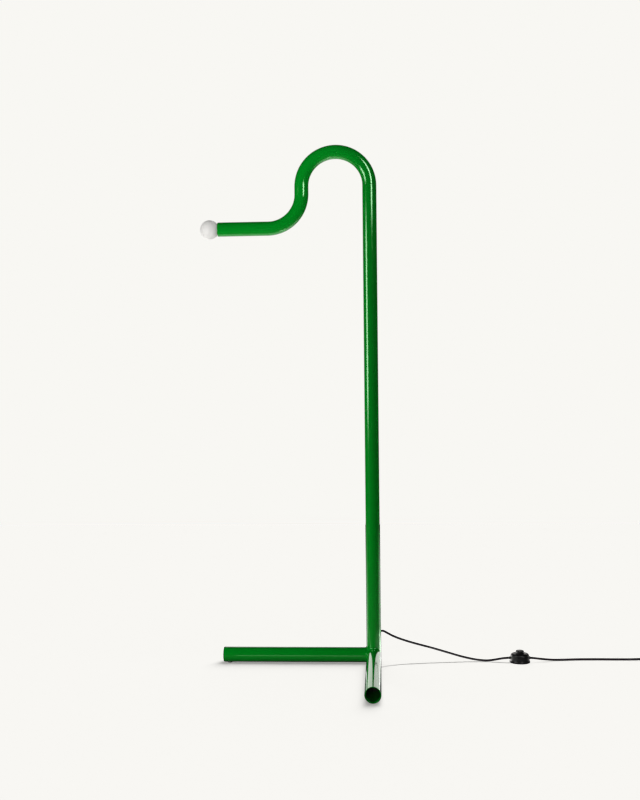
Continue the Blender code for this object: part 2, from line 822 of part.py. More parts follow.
def switch_relief(name, direction):
    """The tapered sleeve that guides the cord into the switch."""
    outlet = OUTLET_RADIUS - GAP
    turned(
        name,
        [
            (CORD_RADIUS + 0.0008, OUTLET_REACH),
            (outlet, OUTLET_REACH - 0.0035),
            (outlet, 0.0249),
            (0.0060, 0.0245),
            (0.0060, 0.0232),
            (CORD_RADIUS + 0.0010, 0.0150),
            (CORD_RADIUS + GAP, 0.0150),
            (CORD_RADIUS + GAP, OUTLET_REACH),
        ],
        SWITCH_CENTRE + UP * OUTLET_HEIGHT, direction, BLACK, 20,
    )


def foot_switch():
    switch_cover()
    switch_base()
    switch_inside()
    switch_relief("switch_relief_in", (-1, 0, 0))
    switch_relief("switch_relief_out", (1, 0, 0))


# Cord, coil and plug


def exit_point(reach):
    return EXIT_DIRECTION * reach + UP * EXIT_HEIGHT


def outlet_point(side, reach):
    """A point on the switch's cord axis, reach away from the switch's own axis."""
    return SWITCH_CENTRE + Vector((side * reach, 0, OUTLET_HEIGHT))


def coil_tangent(layer_height, side):
    """The point beside the coil's solid where a straight run to or from its outer turn ends."""
    inner_edge = COIL_OUTER_LINE - CORD_RADIUS
    reach = math.sqrt((COIL_OUTSIDE + GAP) ** 2 - inner_edge**2) + GAP
    return COIL_CENTRE + Vector((side * reach, COIL_OUTER_LINE, layer_height))


def plug_direction():
    return Vector((math.cos(PLUG_ANGLE), math.sin(PLUG_ANGLE), 0))


def plug_point(reach):
    """A point on the plug's axis, reach in front of its face."""
    return PLUG_POINT + UP * PLUG_RADIUS + plug_direction() * reach


def cord_between(name, start, route, end):
    """A cord from start to end. Each is a pair of points that a straight end of the cord runs through."""
    curve = smooth_route([start[1], *route, end[0]], CORD_SPACING)
    poly_curve(name, [start[0], *curve, end[1]], CORD_RADIUS, 2, CORD_BLACK)


def cords():
    bottom_turn = COIL_LIFT + COIL_PITCH / 2
    top_turn = COIL_LIFT + COIL_HEIGHT - COIL_PITCH / 2
    cord_between(
        "floor_cord",
        (exit_point(GROMMET_NOSE - 0.001 + GAP), exit_point(GROMMET_NOSE + 0.003)),
        FLOOR_CORD_ROUTE,
        (outlet_point(-1, OUTLET_REACH + 0.001), outlet_point(-1, INSIDE_SWITCH)),
    )
    run = Vector((0.004, 0, 0))
    coil_in, coil_out = coil_tangent(bottom_turn, -1), coil_tangent(top_turn, 1)
    cord_between(
        "tail_cord",
        (outlet_point(1, INSIDE_SWITCH), outlet_point(1, OUTLET_REACH + 0.001)),
        TAIL_CORD_ROUTE,
        (coil_in - run, coil_in),
    )
    cord_between(
        "plug_cord",
        (coil_out, coil_out + run),
        PLUG_CORD_ROUTE,
        (plug_point(RELIEF_REAR - 0.0015), plug_point(RELIEF_FRONT - 0.0017)),
    )


def coil():
    """The unused length, wound flat; its tie is a strap round one place of the turns."""
    turned(
        "cord_coil",
        [
            (COIL_OUTSIDE - COIL_CORNER, COIL_HEIGHT),
            (COIL_OUTSIDE, COIL_HEIGHT - COIL_CORNER),
            (COIL_OUTSIDE, COIL_CORNER),
            (COIL_OUTSIDE - COIL_CORNER, 0.0),
            (COIL_INSIDE + COIL_CORNER, 0.0),
            (COIL_INSIDE, COIL_CORNER),
            (COIL_INSIDE, COIL_HEIGHT - COIL_CORNER),
            (COIL_INSIDE + COIL_CORNER, COIL_HEIGHT),
        ],
        COIL_CENTRE + UP * COIL_LIFT, UP, CORD_BLACK, 36,
    )
    across = COIL_OUTSIDE - COIL_INSIDE + 4 * GAP
    tall = COIL_HEIGHT + 2 * GAP
    middle = COIL_CENTRE + Vector((0, -COIL_MEAN_RADIUS, COIL_LIFT + COIL_HEIGHT / 2))
    tie_size = (TIE_WIDTH, across + 2 * TIE_THICKNESS, tall + 2 * TIE_THICKNESS)
    tie = box("coil_tie", tie_size, middle, BLACK)
    inside = box("tie_inside", (TIE_WIDTH * 2, across, tall), middle, BLACK, CUTTERS)
    boolean(tie, inside, "DIFFERENCE")


def plug():
    forward = plug_direction()
    across = Vector((-forward.y, forward.x, 0))
    body = turned(
        "plug_body",
        [
            (0.0, 0.0),
            (0.0175, 0.0),
            (PLUG_RADIUS, -0.0010),
            (PLUG_RADIUS, -0.0130),
            (0.0165, -0.0170),
            (0.0108, -0.0290),
            (0.0088, -PLUG_LENGTH),
            (0.0062, -PLUG_LENGTH),
            (0.0062, -0.0240),
            (0.0, -0.0240),
        ],
        plug_point(0), forward, BLACK, 28, ring=False,
    )
    for index, side in enumerate((-1, 1), start=1):
        foot = plug_point(0) + across * side * PIN_SPACING / 2
        socket = cylinder(
            f"pin_socket_{index}", PIN_RADIUS + GAP, 0.016, foot, forward, BLACK, 16, CUTTERS
        )
        boolean(body, socket, "DIFFERENCE")
        turned(
            f"plug_pin_{index}",
            [
                (0.0, PIN_LENGTH),
                (0.0014, PIN_LENGTH - 0.0003),
                (PIN_RADIUS, PIN_LENGTH - 0.0016),
                (PIN_RADIUS, -PIN_ROOT),
                (0.0, -PIN_ROOT),
            ],
            foot, forward, NICKEL, 16, ring=False,
        )
        clip_middle = plug_point(-0.0065) + UP * side * (PLUG_RADIUS - 0.0006)
        groove = box(
            f"clip_groove_{index}", (0.0150, 0.0046, 0.0024), clip_middle + UP * side * 0.0002,
            BLACK, CUTTERS, PLUG_ANGLE,
        )
        boolean(body, groove, "DIFFERENCE")
        box(
            f"earth_clip_{index}", (0.0136, 0.0040, 0.0008), clip_middle - UP * side * 0.0001,
            NICKEL, LAMP, PLUG_ANGLE,
        )
    turned(
        "plug_relief",
        [
            (0.0059, RELIEF_FRONT),
            (0.0059, -PLUG_LENGTH - 0.0010),
            (CORD_RADIUS + 0.0010, RELIEF_REAR),
            (CORD_RADIUS + GAP, RELIEF_REAR),
            (CORD_RADIUS + GAP, RELIEF_FRONT),
        ],
        plug_point(0), forward, BLACK, 20,
    )


def build():
    outlines = foot()
    column(outlines)
    cable_grommet()
    leads()
    swivel_bush()
    swivel_spigot()
    swivel_retainers()
    hook_tube()
    lampholder()
    bulb()
    foot_switch()
    cords()
    coil()
    plug()


build()
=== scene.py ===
"""The finished look of a floor lamp bent from green lacquered tube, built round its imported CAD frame.

Metres, +Z up, with the origin on the floor under the column. The welded stand, the bent arm, the globe, the
foot switch, the cords and the plug are fine meshes that replace the plain CAD solids. The small fittings
stay as they are and get better materials.
"""

import json
import math

import bmesh
import bpy
import numpy as np
from mathutils import Matrix, Vector


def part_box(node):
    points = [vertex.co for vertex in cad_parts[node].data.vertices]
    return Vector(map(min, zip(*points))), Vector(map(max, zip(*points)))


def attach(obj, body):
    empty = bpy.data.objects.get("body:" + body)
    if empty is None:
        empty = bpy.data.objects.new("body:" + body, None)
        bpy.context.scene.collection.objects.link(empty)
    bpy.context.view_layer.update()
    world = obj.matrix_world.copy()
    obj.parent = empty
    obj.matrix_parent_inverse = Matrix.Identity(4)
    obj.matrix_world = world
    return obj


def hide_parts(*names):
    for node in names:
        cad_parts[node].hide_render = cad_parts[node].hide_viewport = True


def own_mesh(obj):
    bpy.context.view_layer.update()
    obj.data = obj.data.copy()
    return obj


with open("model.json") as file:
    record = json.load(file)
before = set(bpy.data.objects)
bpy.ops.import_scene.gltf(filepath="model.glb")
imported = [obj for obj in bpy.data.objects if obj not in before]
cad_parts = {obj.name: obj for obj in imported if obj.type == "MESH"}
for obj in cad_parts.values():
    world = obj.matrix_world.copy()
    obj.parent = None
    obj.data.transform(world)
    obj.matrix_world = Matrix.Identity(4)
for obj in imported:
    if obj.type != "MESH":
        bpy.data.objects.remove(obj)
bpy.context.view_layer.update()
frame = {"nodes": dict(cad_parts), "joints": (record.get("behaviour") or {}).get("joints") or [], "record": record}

# Camera
CAMERA_PLACE = Vector((0.02755, -3.33974, 0.79579))
CAMERA_YAW = -0.0570
CAMERA_PITCH = -0.0102
CAMERA_ROLL = -0.0095
CAMERA_LENS = 47.44

# Sizes read from the frame
JOINTS = {joint["name"]: joint for joint in frame["joints"]}
COLUMN_LOW, COLUMN_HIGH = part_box("column_tube")
LEFT_LEG_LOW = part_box("left_leg_tube")[0]
TUBE_RADIUS = (COLUMN_HIGH.x - COLUMN_LOW.x) / 2
LEG_REACH = -LEFT_LEG_LOW.x
LEG_AXIS_Z = LEFT_LEG_LOW.z + TUBE_RADIUS
SWIVEL = Vector(JOINTS["arm_swivel"]["pos_m"])
ARM_MOUTH = Vector(JOINTS["bulb_turn"]["pos_m"])
BUTTON_LOW, BUTTON_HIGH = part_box("switch_button")
SWITCH_CENTRE = Vector(((BUTTON_LOW.x + BUTTON_HIGH.x) / 2, (BUTTON_LOW.y + BUTTON_HIGH.y) / 2, 0.0))

# Tube
TUBE_WALL = 0.0015
BORE_RADIUS = TUBE_RADIUS - TUBE_WALL
BEND_RADIUS = 0.108
RIM_ROUND = 0.0005
WELD_BLEND = 0.0070
MITRE_BLEND = 0.0022
AROUND = 96
FLAG_INSET = 0.0007

# Rows of the stand's mesh away from its welds: beside a rim, at the bore's edge and along the tubes
RIM_LAND = 0.0030
BORE_EDGE = 0.0003
LEG_BORE_DEPTH = 0.385
COLUMN_BORE_FLOOR = 0.080
WELD_END = 0.075
LEG_STATION = 0.25
LEG_BORE_STATION = 0.10
COLUMN_STATION = 0.45

# Arm: the gap at its joint line, the straight start of its arch, and how its bends squeeze and spread it
SEAM_GAP = 0.0002
ARM_DROP = SWIVEL.z - BEND_RADIUS - ARM_MOUTH.z
LEAD_IN = 0.002
BEND_SQUEEZE = 0.008
BEND_SPREAD = 0.45
SQUEEZE_RAMP = math.radians(9)
ARCH_STEPS = 72
ELBOW_STEPS = 40

# How far the rows of a tube's mesh lie from its weld: close together in the fillet, then wider apart
NEAR_WELD = [0.0, 0.0007, 0.0015, 0.0024, 0.0034, 0.0045, 0.0058, 0.0073, 0.0090, 0.0112, 0.0140, 0.0180]

# Globe, along the arm's axis from its mouth
GLOBE_RADIUS = 0.030
GLOBE_CENTRE = 0.0264
GLOBE_WALL = 0.0010
GLOBE_NECK_ANGLE = -58
GLOBE_STEPS = 40

# Cord
CORD_RADIUS = 0.0025
CORD_BORE = CORD_RADIUS + 0.0002
EXIT_ANGLE = math.radians(35)
EXIT_DIRECTION = Vector((math.cos(EXIT_ANGLE), math.sin(EXIT_ANGLE), 0))
EXIT_HEIGHT = 0.096
GROMMET_NOSE = 0.0265
CORD_SPACING = 0.004
ROUTE_STEPS = 24

# Coil of the cord
COIL_LIFT = 0.001
COIL_PITCH = 0.0051
COIL_MEAN_RADIUS = 0.0275
COIL_CENTRE = Vector((0.888, 0.0126, 0.0))
COIL_TURNS_PER_LAYER = 2.25
COIL_LAYERS = 4
COIL_STEPS_PER_TURN = 40
COIL_CLIMB = 0.16
COIL_OUTER_LINE = COIL_MEAN_RADIUS + COIL_TURNS_PER_LAYER * COIL_PITCH / 2

# Foot switch: where the cords enter it, and the flutes round its button
OUTLET_HEIGHT = 0.0130
OUTLET_REACH = 0.0330
INSIDE_SWITCH = 0.0180
RIB_COUNT = 24
RIB_DEPTH = 0.00035
RIB_INNER = 0.0105
RIB_FLOOR = 0.0285

# Plug, with places along its axis measured from its face
PLUG_POINT = Vector((0.994, 0.0125, 0.0))
PLUG_ANGLE = math.radians(-32)
PLUG_RADIUS = 0.0185
PLUG_SLEEVE_BACK = -0.0535
INSIDE_PLUG = -0.0260
GRIP_BACK = -0.0335
GRIP_FRONT = -0.0145
GRIP_INNER = 0.0085
GRIP_PITCH = 0.0030
GRIP_DEPTH = 0.0009
PIN_OFFSET = 0.0095
PLUG_DIRECTION = Vector((math.cos(PLUG_ANGLE), math.sin(PLUG_ANGLE), 0))

UP = Vector((0, 0, 1))
OUT_OF_ARM = Vector((-1, 0, 0))

# The cords' routes, as in the CAD
FLOOR_CORD_ROUTE = [
    (0.0310, 0.0212, 0.0946),
    (0.0450, 0.0268, 0.0862),
    (0.0600, 0.0308, 0.0775),
    (0.0830, 0.0340, 0.0676),
    (0.1150, 0.0356, 0.0570),
    (0.1430, 0.0352, 0.0494),
    (0.1870, 0.0330, 0.0383),
    (0.2370, 0.0290, 0.0246),
    (0.2690, 0.0256, 0.0160),
    (0.2950, 0.0228, 0.0102),
    (0.3220, 0.0204, 0.0055),
    (0.3480, 0.0188, 0.0033),
    (0.3660, 0.0176, 0.0041),
    (0.3840, 0.0162, 0.0072),
    (0.4040, 0.0147, 0.0109),
]
TAIL_CORD_ROUTE = [
    (0.5070, 0.0160, 0.0112),
    (0.5300, 0.0206, 0.0077),
    (0.5600, 0.0278, 0.0040),
    (0.5900, 0.0338, 0.0027),
    (0.6400, 0.0400, 0.0027),
    (0.7000, 0.0424, 0.0027),
    (0.7600, 0.0420, 0.0027),
    (0.8100, 0.0432, 0.0027),
    (0.8450, 0.0452, 0.0032),
]
PLUG_CORD_ROUTE = [
    (0.9180, 0.0461, 0.0189),
    (0.9300, 0.0458, 0.0188),
    (0.9400, 0.0441, 0.0186),
]


# Materials


def principled(name, colour, roughness, metallic=0.0, **sockets):
    """A material and its shader. What is even over the surface is set here, on the shader's own sockets."""
    material = bpy.data.materials.new(name)
    material.use_nodes = True
    shader = material.node_tree.nodes["Principled BSDF"]
    shader.inputs["Base Color"].default_value = (*colour, 1.0)
    shader.inputs["Roughness"].default_value = roughness
    shader.inputs["Metallic"].default_value = metallic
    for socket, value in sockets.items():
        shader.inputs[socket.replace("_", " ")].default_value = value
    material.diffuse_color = (*colour, 1.0)
    return material, shader


def node(material, kind, **inputs):
    """A new node in the material's tree, with some of its inputs set."""
    made = material.node_tree.nodes.new(kind)
    for name, value in inputs.items():
        made.inputs[name.replace("_", " ")].default_value = value
    return made


def link(material, output, socket):
    material.node_tree.links.new(output, socket)


def mapped(tree, value, source, target, eased=True):
    """The value with one range mapped to another, eased at both ends of the range or straight."""
    made = tree.nodes.new("ShaderNodeMapRange")
    made.interpolation_type = "SMOOTHSTEP" if eased else "LINEAR"
    for name, number in zip(("From Min", "From Max", "To Min", "To Max"), (*source, *target)):
        made.inputs[name].default_value = number
    tree.links.new(value, made.inputs["Value"])
    return made.outputs["Result"]


def product(tree, first, second):
    """Two values multiplied. The second may be a plain number."""
    made = tree.nodes.new("ShaderNodeMath")
    made.operation = "MULTIPLY"
    tree.links.new(first, made.inputs[0])
    if isinstance(second, float):
        made.inputs[1].default_value = second
    else:
        tree.links.new(second, made.inputs[1])
    return made.outputs["Value"]


def surface_place(material, stretch=(1.0, 1.0, 1.0)):
    """Object coordinates in metres, stretched for brushed or drawn surfaces."""
    where = node(material, "ShaderNodeTexCoord")
    mapping = node(material, "ShaderNodeMapping", Scale=stretch)
    link(material, where.outputs["Object"], mapping.inputs["Vector"])
    return mapping.outputs["Vector"]


def noise(material, size, detail=2.0, stretch=(1.0, 1.0, 1.0)):
    """Noise with features of about the given size in metres."""
    made = node(material, "ShaderNodeTexNoise", Scale=1.0 / size, Detail=detail)
    link(material, surface_place(material, stretch), made.inputs["Vector"])
    return made.outputs["Fac"]


def vary(material, factor, socket, low, high):
    """Feeds a socket a number that runs from low to high with the factor."""
    link(material, mapped(material.node_tree, factor, (0.3, 0.7), (low, high), eased=False), socket)


def tint(material, factor, socket, dark, light):
    """Feeds a socket a colour that runs from dark to light with the factor."""
    ramp = node(material, "ShaderNodeValToRGB")
    first, last = ramp.color_ramp.elements
    first.position, first.color = 0.32, (*dark, 1.0)
    last.position, last.color = 0.68, (*light, 1.0)
    link(material, factor, ramp.inputs["Fac"])
    link(material, ramp.outputs["Color"], socket)


def relief(material, shader, factor, height, strength=1.0):
    """Bump of the given real height in metres."""
    bump = node(material, "ShaderNodeBump", Strength=strength, Distance=height)
    link(material, factor, bump.inputs["Height"])
    link(material, bump.outputs["Normal"], shader.inputs["Normal"])


def green_lacquer():
    """High-gloss stove enamel: even colour, a very fine orange peel and a faint change of gloss."""
    material, shader = principled(
        "green_lacquer", (0.0, 0.26, 0.014), 0.10, Specular_IOR_Level=0.85,
        Specular_Tint=(0.52, 1.0, 0.56, 1.0), Coat_Weight=0.15, Coat_Roughness=0.03, Coat_IOR=1.5,
    )
    tint(material, noise(material, 0.09), shader.inputs["Base Color"],
         (0.0, 0.253, 0.0130), (0.0, 0.267, 0.0150))
    vary(material, noise(material, 0.02, 3.0), shader.inputs["Roughness"], 0.085, 0.125)
    relief(material, shader, noise(material, 0.0060, 0.0), 0.0000012)
    return material


def opal_glass():
    """Unlit opal glass: a small glow stands in for the light that passes through it."""
    material, shader = principled(
        "opal_glass", (0.74, 0.727, 0.70), 0.55, Specular_IOR_Level=0.15,
        Emission_Color=(1.0, 0.99, 0.97, 1.0), Emission_Strength=0.10,
    )
    tint(material, noise(material, 0.016, 1.0), shader.inputs["Base Color"],
         (0.735, 0.722, 0.695), (0.750, 0.737, 0.710))
    relief(material, shader, noise(material, 0.009, 0.0), 0.000004)
    return material


def moulded_plastic(name, colour, light, roughness, grain=0.00035, height=0.000012):
    """Injection-moulded plastic: spark-eroded grain, a slightly uneven sheen and paler patches."""
    material, shader = principled(name, colour, roughness, IOR=1.49, Specular_IOR_Level=0.35)
    tint(material, noise(material, 0.006, 4.0), shader.inputs["Base Color"], colour, light)
    vary(material, noise(material, 0.011, 3.0), shader.inputs["Roughness"],
         roughness - 0.06, roughness + 0.08)
    relief(material, shader, noise(material, grain, 2.0), height)
    return material


def cord_pvc():
    """The cords' smooth sheath, a little uneven in colour and sheen."""
    material, shader = principled(
        "black_cord", (0.005, 0.005, 0.0055), 0.42, IOR=1.52, Specular_IOR_Level=0.3,
    )
    tint(material, noise(material, 0.004, 3.0), shader.inputs["Base Color"],
         (0.004, 0.004, 0.0044), (0.008, 0.008, 0.0085))
    vary(material, noise(material, 0.007, 4.0), shader.inputs["Roughness"], 0.36, 0.52)
    relief(material, shader, noise(material, 0.0006, 2.0), 0.00001)
    return material


def pad_rubber():
    """Matt grey rubber."""
    material, shader = principled("pad_rubber", (0.20, 0.20, 0.195), 0.75)
    tint(material, noise(material, 0.003, 5.0), shader.inputs["Base Color"],
         (0.17, 0.17, 0.165), (0.24, 0.238, 0.230))
    relief(material, shader, noise(material, 0.0005, 4.0), 0.00004)
    return material


def machined(name, dark, light, roughness, across):
    """Drawn or turned metal. across draws the noise out along the tool's path, so it reads as fine lines."""
    material, shader = principled(name, light, roughness, 1.0)
    lines = noise(material, 0.0006, 3.0, across)
    tint(material, noise(material, 0.008, 4.0), shader.inputs["Base Color"], dark, light)
    vary(material, lines, shader.inputs["Roughness"], roughness - 0.08, roughness + 0.10)
    relief(material, shader, lines, 0.000008)
    return material


def rolled_steel():
    """The ballast bars' mill scale, mottled and dull."""
    material, shader = principled("ballast_steel", (0.20, 0.19, 0.18), 0.55, 0.9)
    tint(material, noise(material, 0.005, 6.0), shader.inputs["Base Color"],
         (0.11, 0.105, 0.10), (0.26, 0.24, 0.22))
    vary(material, noise(material, 0.003, 5.0), shader.inputs["Roughness"], 0.42, 0.75)
    relief(material, shader, noise(material, 0.0012, 5.0), 0.00008)
    return material


# Noise four times longer across the upright axis and four times finer along it
TURNED = (0.25, 0.25, 4.0)

MATERIALS = {
    "green_lacquer": green_lacquer(),
    "opal_glass": opal_glass(),
    "black_plastic": moulded_plastic("black_plastic", (0.006, 0.006, 0.0063), (0.011, 0.011, 0.0115), 0.32),
    "black_cord": cord_pvc(),
    "pad_rubber": pad_rubber(),
    "bright_steel": machined("bright_steel", (0.50, 0.50, 0.51), (0.62, 0.62, 0.63), 0.26, TURNED),
    "ballast_steel": rolled_steel(),
    "brass": machined("brass", (0.62, 0.44, 0.19), (0.76, 0.58, 0.28), 0.28, TURNED),
    "nickel": machined("nickel", (0.60, 0.58, 0.54), (0.70, 0.68, 0.64), 0.20, TURNED),
    "bearing_plastic": moulded_plastic("bearing_plastic", (0.70, 0.69, 0.65), (0.78, 0.77, 0.73), 0.42),
}


# Mesh helpers


def piece(name, data, slot, body="stand", nodes=()):
    """A finished piece: its finish, the body that it rides on and the CAD nodes that it stands for."""
    obj = bpy.data.objects.new(name, data)
    bpy.context.scene.collection.objects.link(obj)
    data.materials.clear()
    data.materials.append(MATERIALS[slot])
    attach(obj, body)
    if nodes:
        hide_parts(*nodes)
    return obj


def grid_faces(rows, columns, closed_columns=True, flip=False):
    """Quads over rows by columns of points, numbered row by row."""
    faces = []
    last = columns if closed_columns else columns - 1
    for i in range(rows - 1):
        for j in range(last):
            k = (j + 1) % columns
            quad = (i * columns + j, i * columns + k, (i + 1) * columns + k, (i + 1) * columns + j)
            faces.append(quad[::-1] if flip else quad)
    return faces


def mesh_from(name, parts, weld=1e-7, smooth=math.radians(40)):
    """One mesh from (points, faces) parts, welded where they meet, with its faces turned outwards."""
    bm = bmesh.new()
    for points, faces in parts:
        verts = [bm.verts.new(p) for p in points]
        for face in faces:
            corners = []
            for index in face:
                if verts[index] not in corners:
                    corners.append(verts[index])
            if len(corners) > 2:
                bm.faces.new(corners)
    bmesh.ops.remove_doubles(bm, verts=bm.verts, dist=weld)
    bmesh.ops.dissolve_degenerate(bm, edges=bm.edges, dist=weld / 10)
    loose = [v for v in bm.verts if not v.link_faces]
    bmesh.ops.delete(bm, geom=loose, context="VERTS")
    bmesh.ops.recalc_face_normals(bm, faces=bm.faces)
    mesh = bpy.data.meshes.new(name)
    bm.to_mesh(mesh)
    bm.free()
    mesh.shade_smooth()
    mesh.set_sharp_from_angle(angle=smooth)
    return mesh


def rounded(profile, steps=4):
    """A turned profile's points, with each (radius, height, corner) corner rounded by that much."""
    points = []
    count = len(profile)
    for index, (radius, height, *corner) in enumerate(profile):
        here = Vector((radius, height))
        if not corner or index in (0, count - 1):
            points.append(here)
            continue
        before = Vector(profile[index - 1][:2]) - here
        after = Vector(profile[index + 1][:2]) - here
        cut = min(corner[0], before.length * 0.49, after.length * 0.49)
        start, end = here + before.normalized() * cut, here + after.normalized() * cut
        for step in range(steps + 1):
            t = step / steps
            points.append(start * (1 - t) ** 2 + here * 2 * t * (1 - t) + end * t**2)
    return points


def along(centre, direction):
    """The matrix that puts +Z along direction and the origin at centre."""
    turn = UP.rotation_difference(Vector(direction)).to_matrix().to_4x4()
    return Matrix.Translation(centre) @ turn


def lathe(name, profile, centre, direction, segments=72, closed=False, shape=None):
    """A turned mesh. shape may change a point's radius: it takes the radius, height and angle."""
    profile = rounded(profile)
    if closed:
        profile.append(profile[0])
    place = along(centre, direction)
    points = []
    for radius, height in profile:
        for step in range(segments):
            angle = 2 * math.pi * step / segments
            reach = shape(radius, height, angle) if shape else radius
            points.append(place @ Vector((reach * math.cos(angle), reach * math.sin(angle), height)))
    return mesh_from(name, [(points, grid_faces(len(profile), segments))])


def smooth_route(points, spacing=CORD_SPACING):
    """Evenly spaced points on a Catmull-Rom curve through points."""
    points = [Vector(p) for p in points]
    ends = [2 * points[0] - points[1], *points, 2 * points[-1] - points[-2]]
    fine = []
    for a, b, c, d in zip(ends, ends[1:], ends[2:], ends[3:]):
        for step in range(ROUTE_STEPS):
            t = step / ROUTE_STEPS
            fine.append(0.5 * (2 * b + (c - a) * t + (2 * a - 5 * b + 4 * c - d) * t**2
                               + (3 * b - a - 3 * c + d) * t**3))
    fine.append(points[-1])
    lengths = np.cumsum([0.0] + [(q - p).length for p, q in zip(fine, fine[1:])])
    count = max(2, round(lengths[-1] / spacing))
    targets = np.linspace(0.0, lengths[-1], count + 1)
    coordinates = np.array(fine)
    return [Vector(p) for p in np.stack(
        [np.interp(targets, lengths, coordinates[:, axis]) for axis in range(3)], axis=1)]


# The welded stand


def soft_least(a, b, reach):
    """The smaller of two distances, blended where they are within reach of each other."""
    overlap = np.maximum(reach - np.abs(a - b), 0.0)
    return np.minimum(a, b) - overlap**2 / (4 * reach + 1e-12)


def stand_distance(p):
    """Distance to the welded stand: tubes blended in their inner corners, edges eased on the outer one."""
    x, y, z = p[:, 0], p[:, 1], p[:, 2] - LEG_AXIS_Z
    to_column = np.hypot(x, y)
    to_left = np.hypot(y, z)
    to_front = np.hypot(x, z)
    column, left, front = (d - TUBE_RADIUS for d in (to_column, to_left, to_front))
    across = 1.0 - z**2 / (to_left * to_front + 1e-9)
    inner = soft_least(left, front, WELD_BLEND * across)
    outer = -soft_least(-left, -front, MITRE_BLEND * across)
    on_left = x < y
    own = np.where(on_left, left, front)
    legs = np.where((x < 0) & (y < 0), inner, np.where((x > 0) & (y > 0), outer, own))
    shared = np.where(on_left, y**2 / (to_column * to_left + 1e-9), x**2 / (to_column * to_front + 1e-9))
    joined = soft_least(legs, column, WELD_BLEND * np.clip(1.0 - shared, 0.0, 1.0))
    return np.where(z > 0, joined, legs)


def settle(points, reach=0.062):
    """Moves the points near the corner onto the blended surface."""
    points = np.array(points, float)
    centre = np.array([0.0, 0.0, LEG_AXIS_Z])
    near = np.linalg.norm(points - centre, axis=1) < reach
    moved = points[near]
    step = 1e-6
    for _ in range(8):
        value = stand_distance(moved)
        slope = np.stack([
            (stand_distance(moved + step * axis) - stand_distance(moved - step * axis)) / (2 * step)
            for axis in np.eye(3)
        ], axis=1)
        moved = moved - slope * (value / np.maximum((slope**2).sum(axis=1), 0.25))[:, None]
    points[near] = moved
    return points


def half_column():
    """The column's left half, from the saddle line over its rim and down its bore, at 45 to 225 degrees."""
    top = COLUMN_HIGH.z
    upper = [WELD_END, top - COLUMN_STATION, top - RIM_LAND, top - RIM_ROUND]
    angles = [math.pi / 4 + 2 * math.pi * j / AROUND for j in range(AROUND // 2 + 1)]
    rows = []
    for offset in NEAR_WELD:
        rows.append([
            (TUBE_RADIUS * math.cos(a), TUBE_RADIUS * math.sin(a),
             LEG_AXIS_Z + TUBE_RADIUS * abs(math.cos(a)) + offset)
            for a in angles
        ])
    for height in upper:
        rows.append([(TUBE_RADIUS * math.cos(a), TUBE_RADIUS * math.sin(a), height) for a in angles])
    for radius, height in (
        (TUBE_RADIUS - 0.3 * RIM_ROUND, top - 0.15 * RIM_ROUND),
        (TUBE_RADIUS - RIM_ROUND, top),
        (BORE_RADIUS + BORE_EDGE, top),
        (BORE_RADIUS, top - BORE_EDGE),
        (BORE_RADIUS, top - RIM_LAND),
        (BORE_RADIUS, top - COLUMN_STATION),
        (BORE_RADIUS, COLUMN_BORE_FLOOR),
        (0.0, COLUMN_BORE_FLOOR),
    ):
        rows.append([(radius * math.cos(a), radius * math.sin(a), height) for a in angles])
    return rows, len(angles)


def leg_point(angle, x):
    """A point on the left leg's surface, at an angle round its axis."""
    return (x, TUBE_RADIUS * math.cos(angle), LEG_AXIS_Z + TUBE_RADIUS * math.sin(angle))


def leg_start(angle):
    """Where a line along the left leg begins, for angles from -90 to 270 degrees round its axis."""
    turn = math.degrees(angle)
    if turn <= 0:
        return 0.0
    if turn <= 135:
        return -TUBE_RADIUS * math.sin(angle)
    return TUBE_RADIUS * math.cos(angle)


def left_leg():
    """The left leg from its weld to its open end, and its bore back to just past the ballast bar."""
    angles = [-math.pi / 2 + 2 * math.pi * j / AROUND for j in range(AROUND)]
    rows = [[leg_point(a, leg_start(a) - offset) for a in angles] for offset in NEAR_WELD]
    end = -LEG_REACH
    for x in (-WELD_END, -LEG_STATION, end + RIM_LAND, end + RIM_ROUND):
        rows.append([leg_point(a, x) for a in angles])
    bore_floor = end + LEG_BORE_DEPTH
    for radius, x in (
        (TUBE_RADIUS - 0.3 * RIM_ROUND, end + 0.15 * RIM_ROUND),
        (TUBE_RADIUS - RIM_ROUND, end),
        (BORE_RADIUS + BORE_EDGE, end),
        (BORE_RADIUS, end + BORE_EDGE),
        (BORE_RADIUS, end + RIM_LAND),
        (BORE_RADIUS, end + LEG_BORE_STATION),
        (BORE_RADIUS, bore_floor),
        (0.0, bore_floor),
    ):
        rows.append([
            (x, radius * math.cos(a), LEG_AXIS_Z + radius * math.sin(a)) for a in angles
        ])
    return rows, len(angles)


def outer_corner():
    """The part of the left leg beyond the column, out to the mitre."""
    steps = [0.0, 0.06, 0.14, 0.26, 0.42, 0.58, 0.74, 0.86, 0.94, 1.0]
    count = 3 * AROUND // 8
    angles = [-math.pi / 2 + 2 * math.pi * j / AROUND for j in range(count + 1)]
    rows = []
    for share in steps:
        row = []
        for a in angles:
            inner = max(0.0, TUBE_RADIUS * math.sin(a))
            outer = TUBE_RADIUS * max(0.0, math.cos(a))
            row.append(leg_point(a, inner + (outer - inner) * share))
        rows.append(row)
    return rows, len(angles)


def flat(rows):
    """The points of all the rows in one list."""
    return [p for row in rows for p in row]


def welded_stand():
    """The stand as one mesh. Half of it is drawn and mirrored over the upright plane between its legs."""
    parts = []
    for (rows, count), closed in ((half_column(), False), (left_leg(), True), (outer_corner(), False)):
        points = settle(flat(rows))
        faces = grid_faces(len(rows), count, closed)
        parts.append((points, faces))
        parts.append((points[:, [1, 0, 2]], faces))
    mesh = mesh_from("welded_stand", parts, weld=4e-6, smooth=math.radians(60))
    return piece("welded_stand", mesh, "green_lacquer", "stand",
                 ("column_tube", "left_leg_tube", "front_leg_tube"))


# The arm


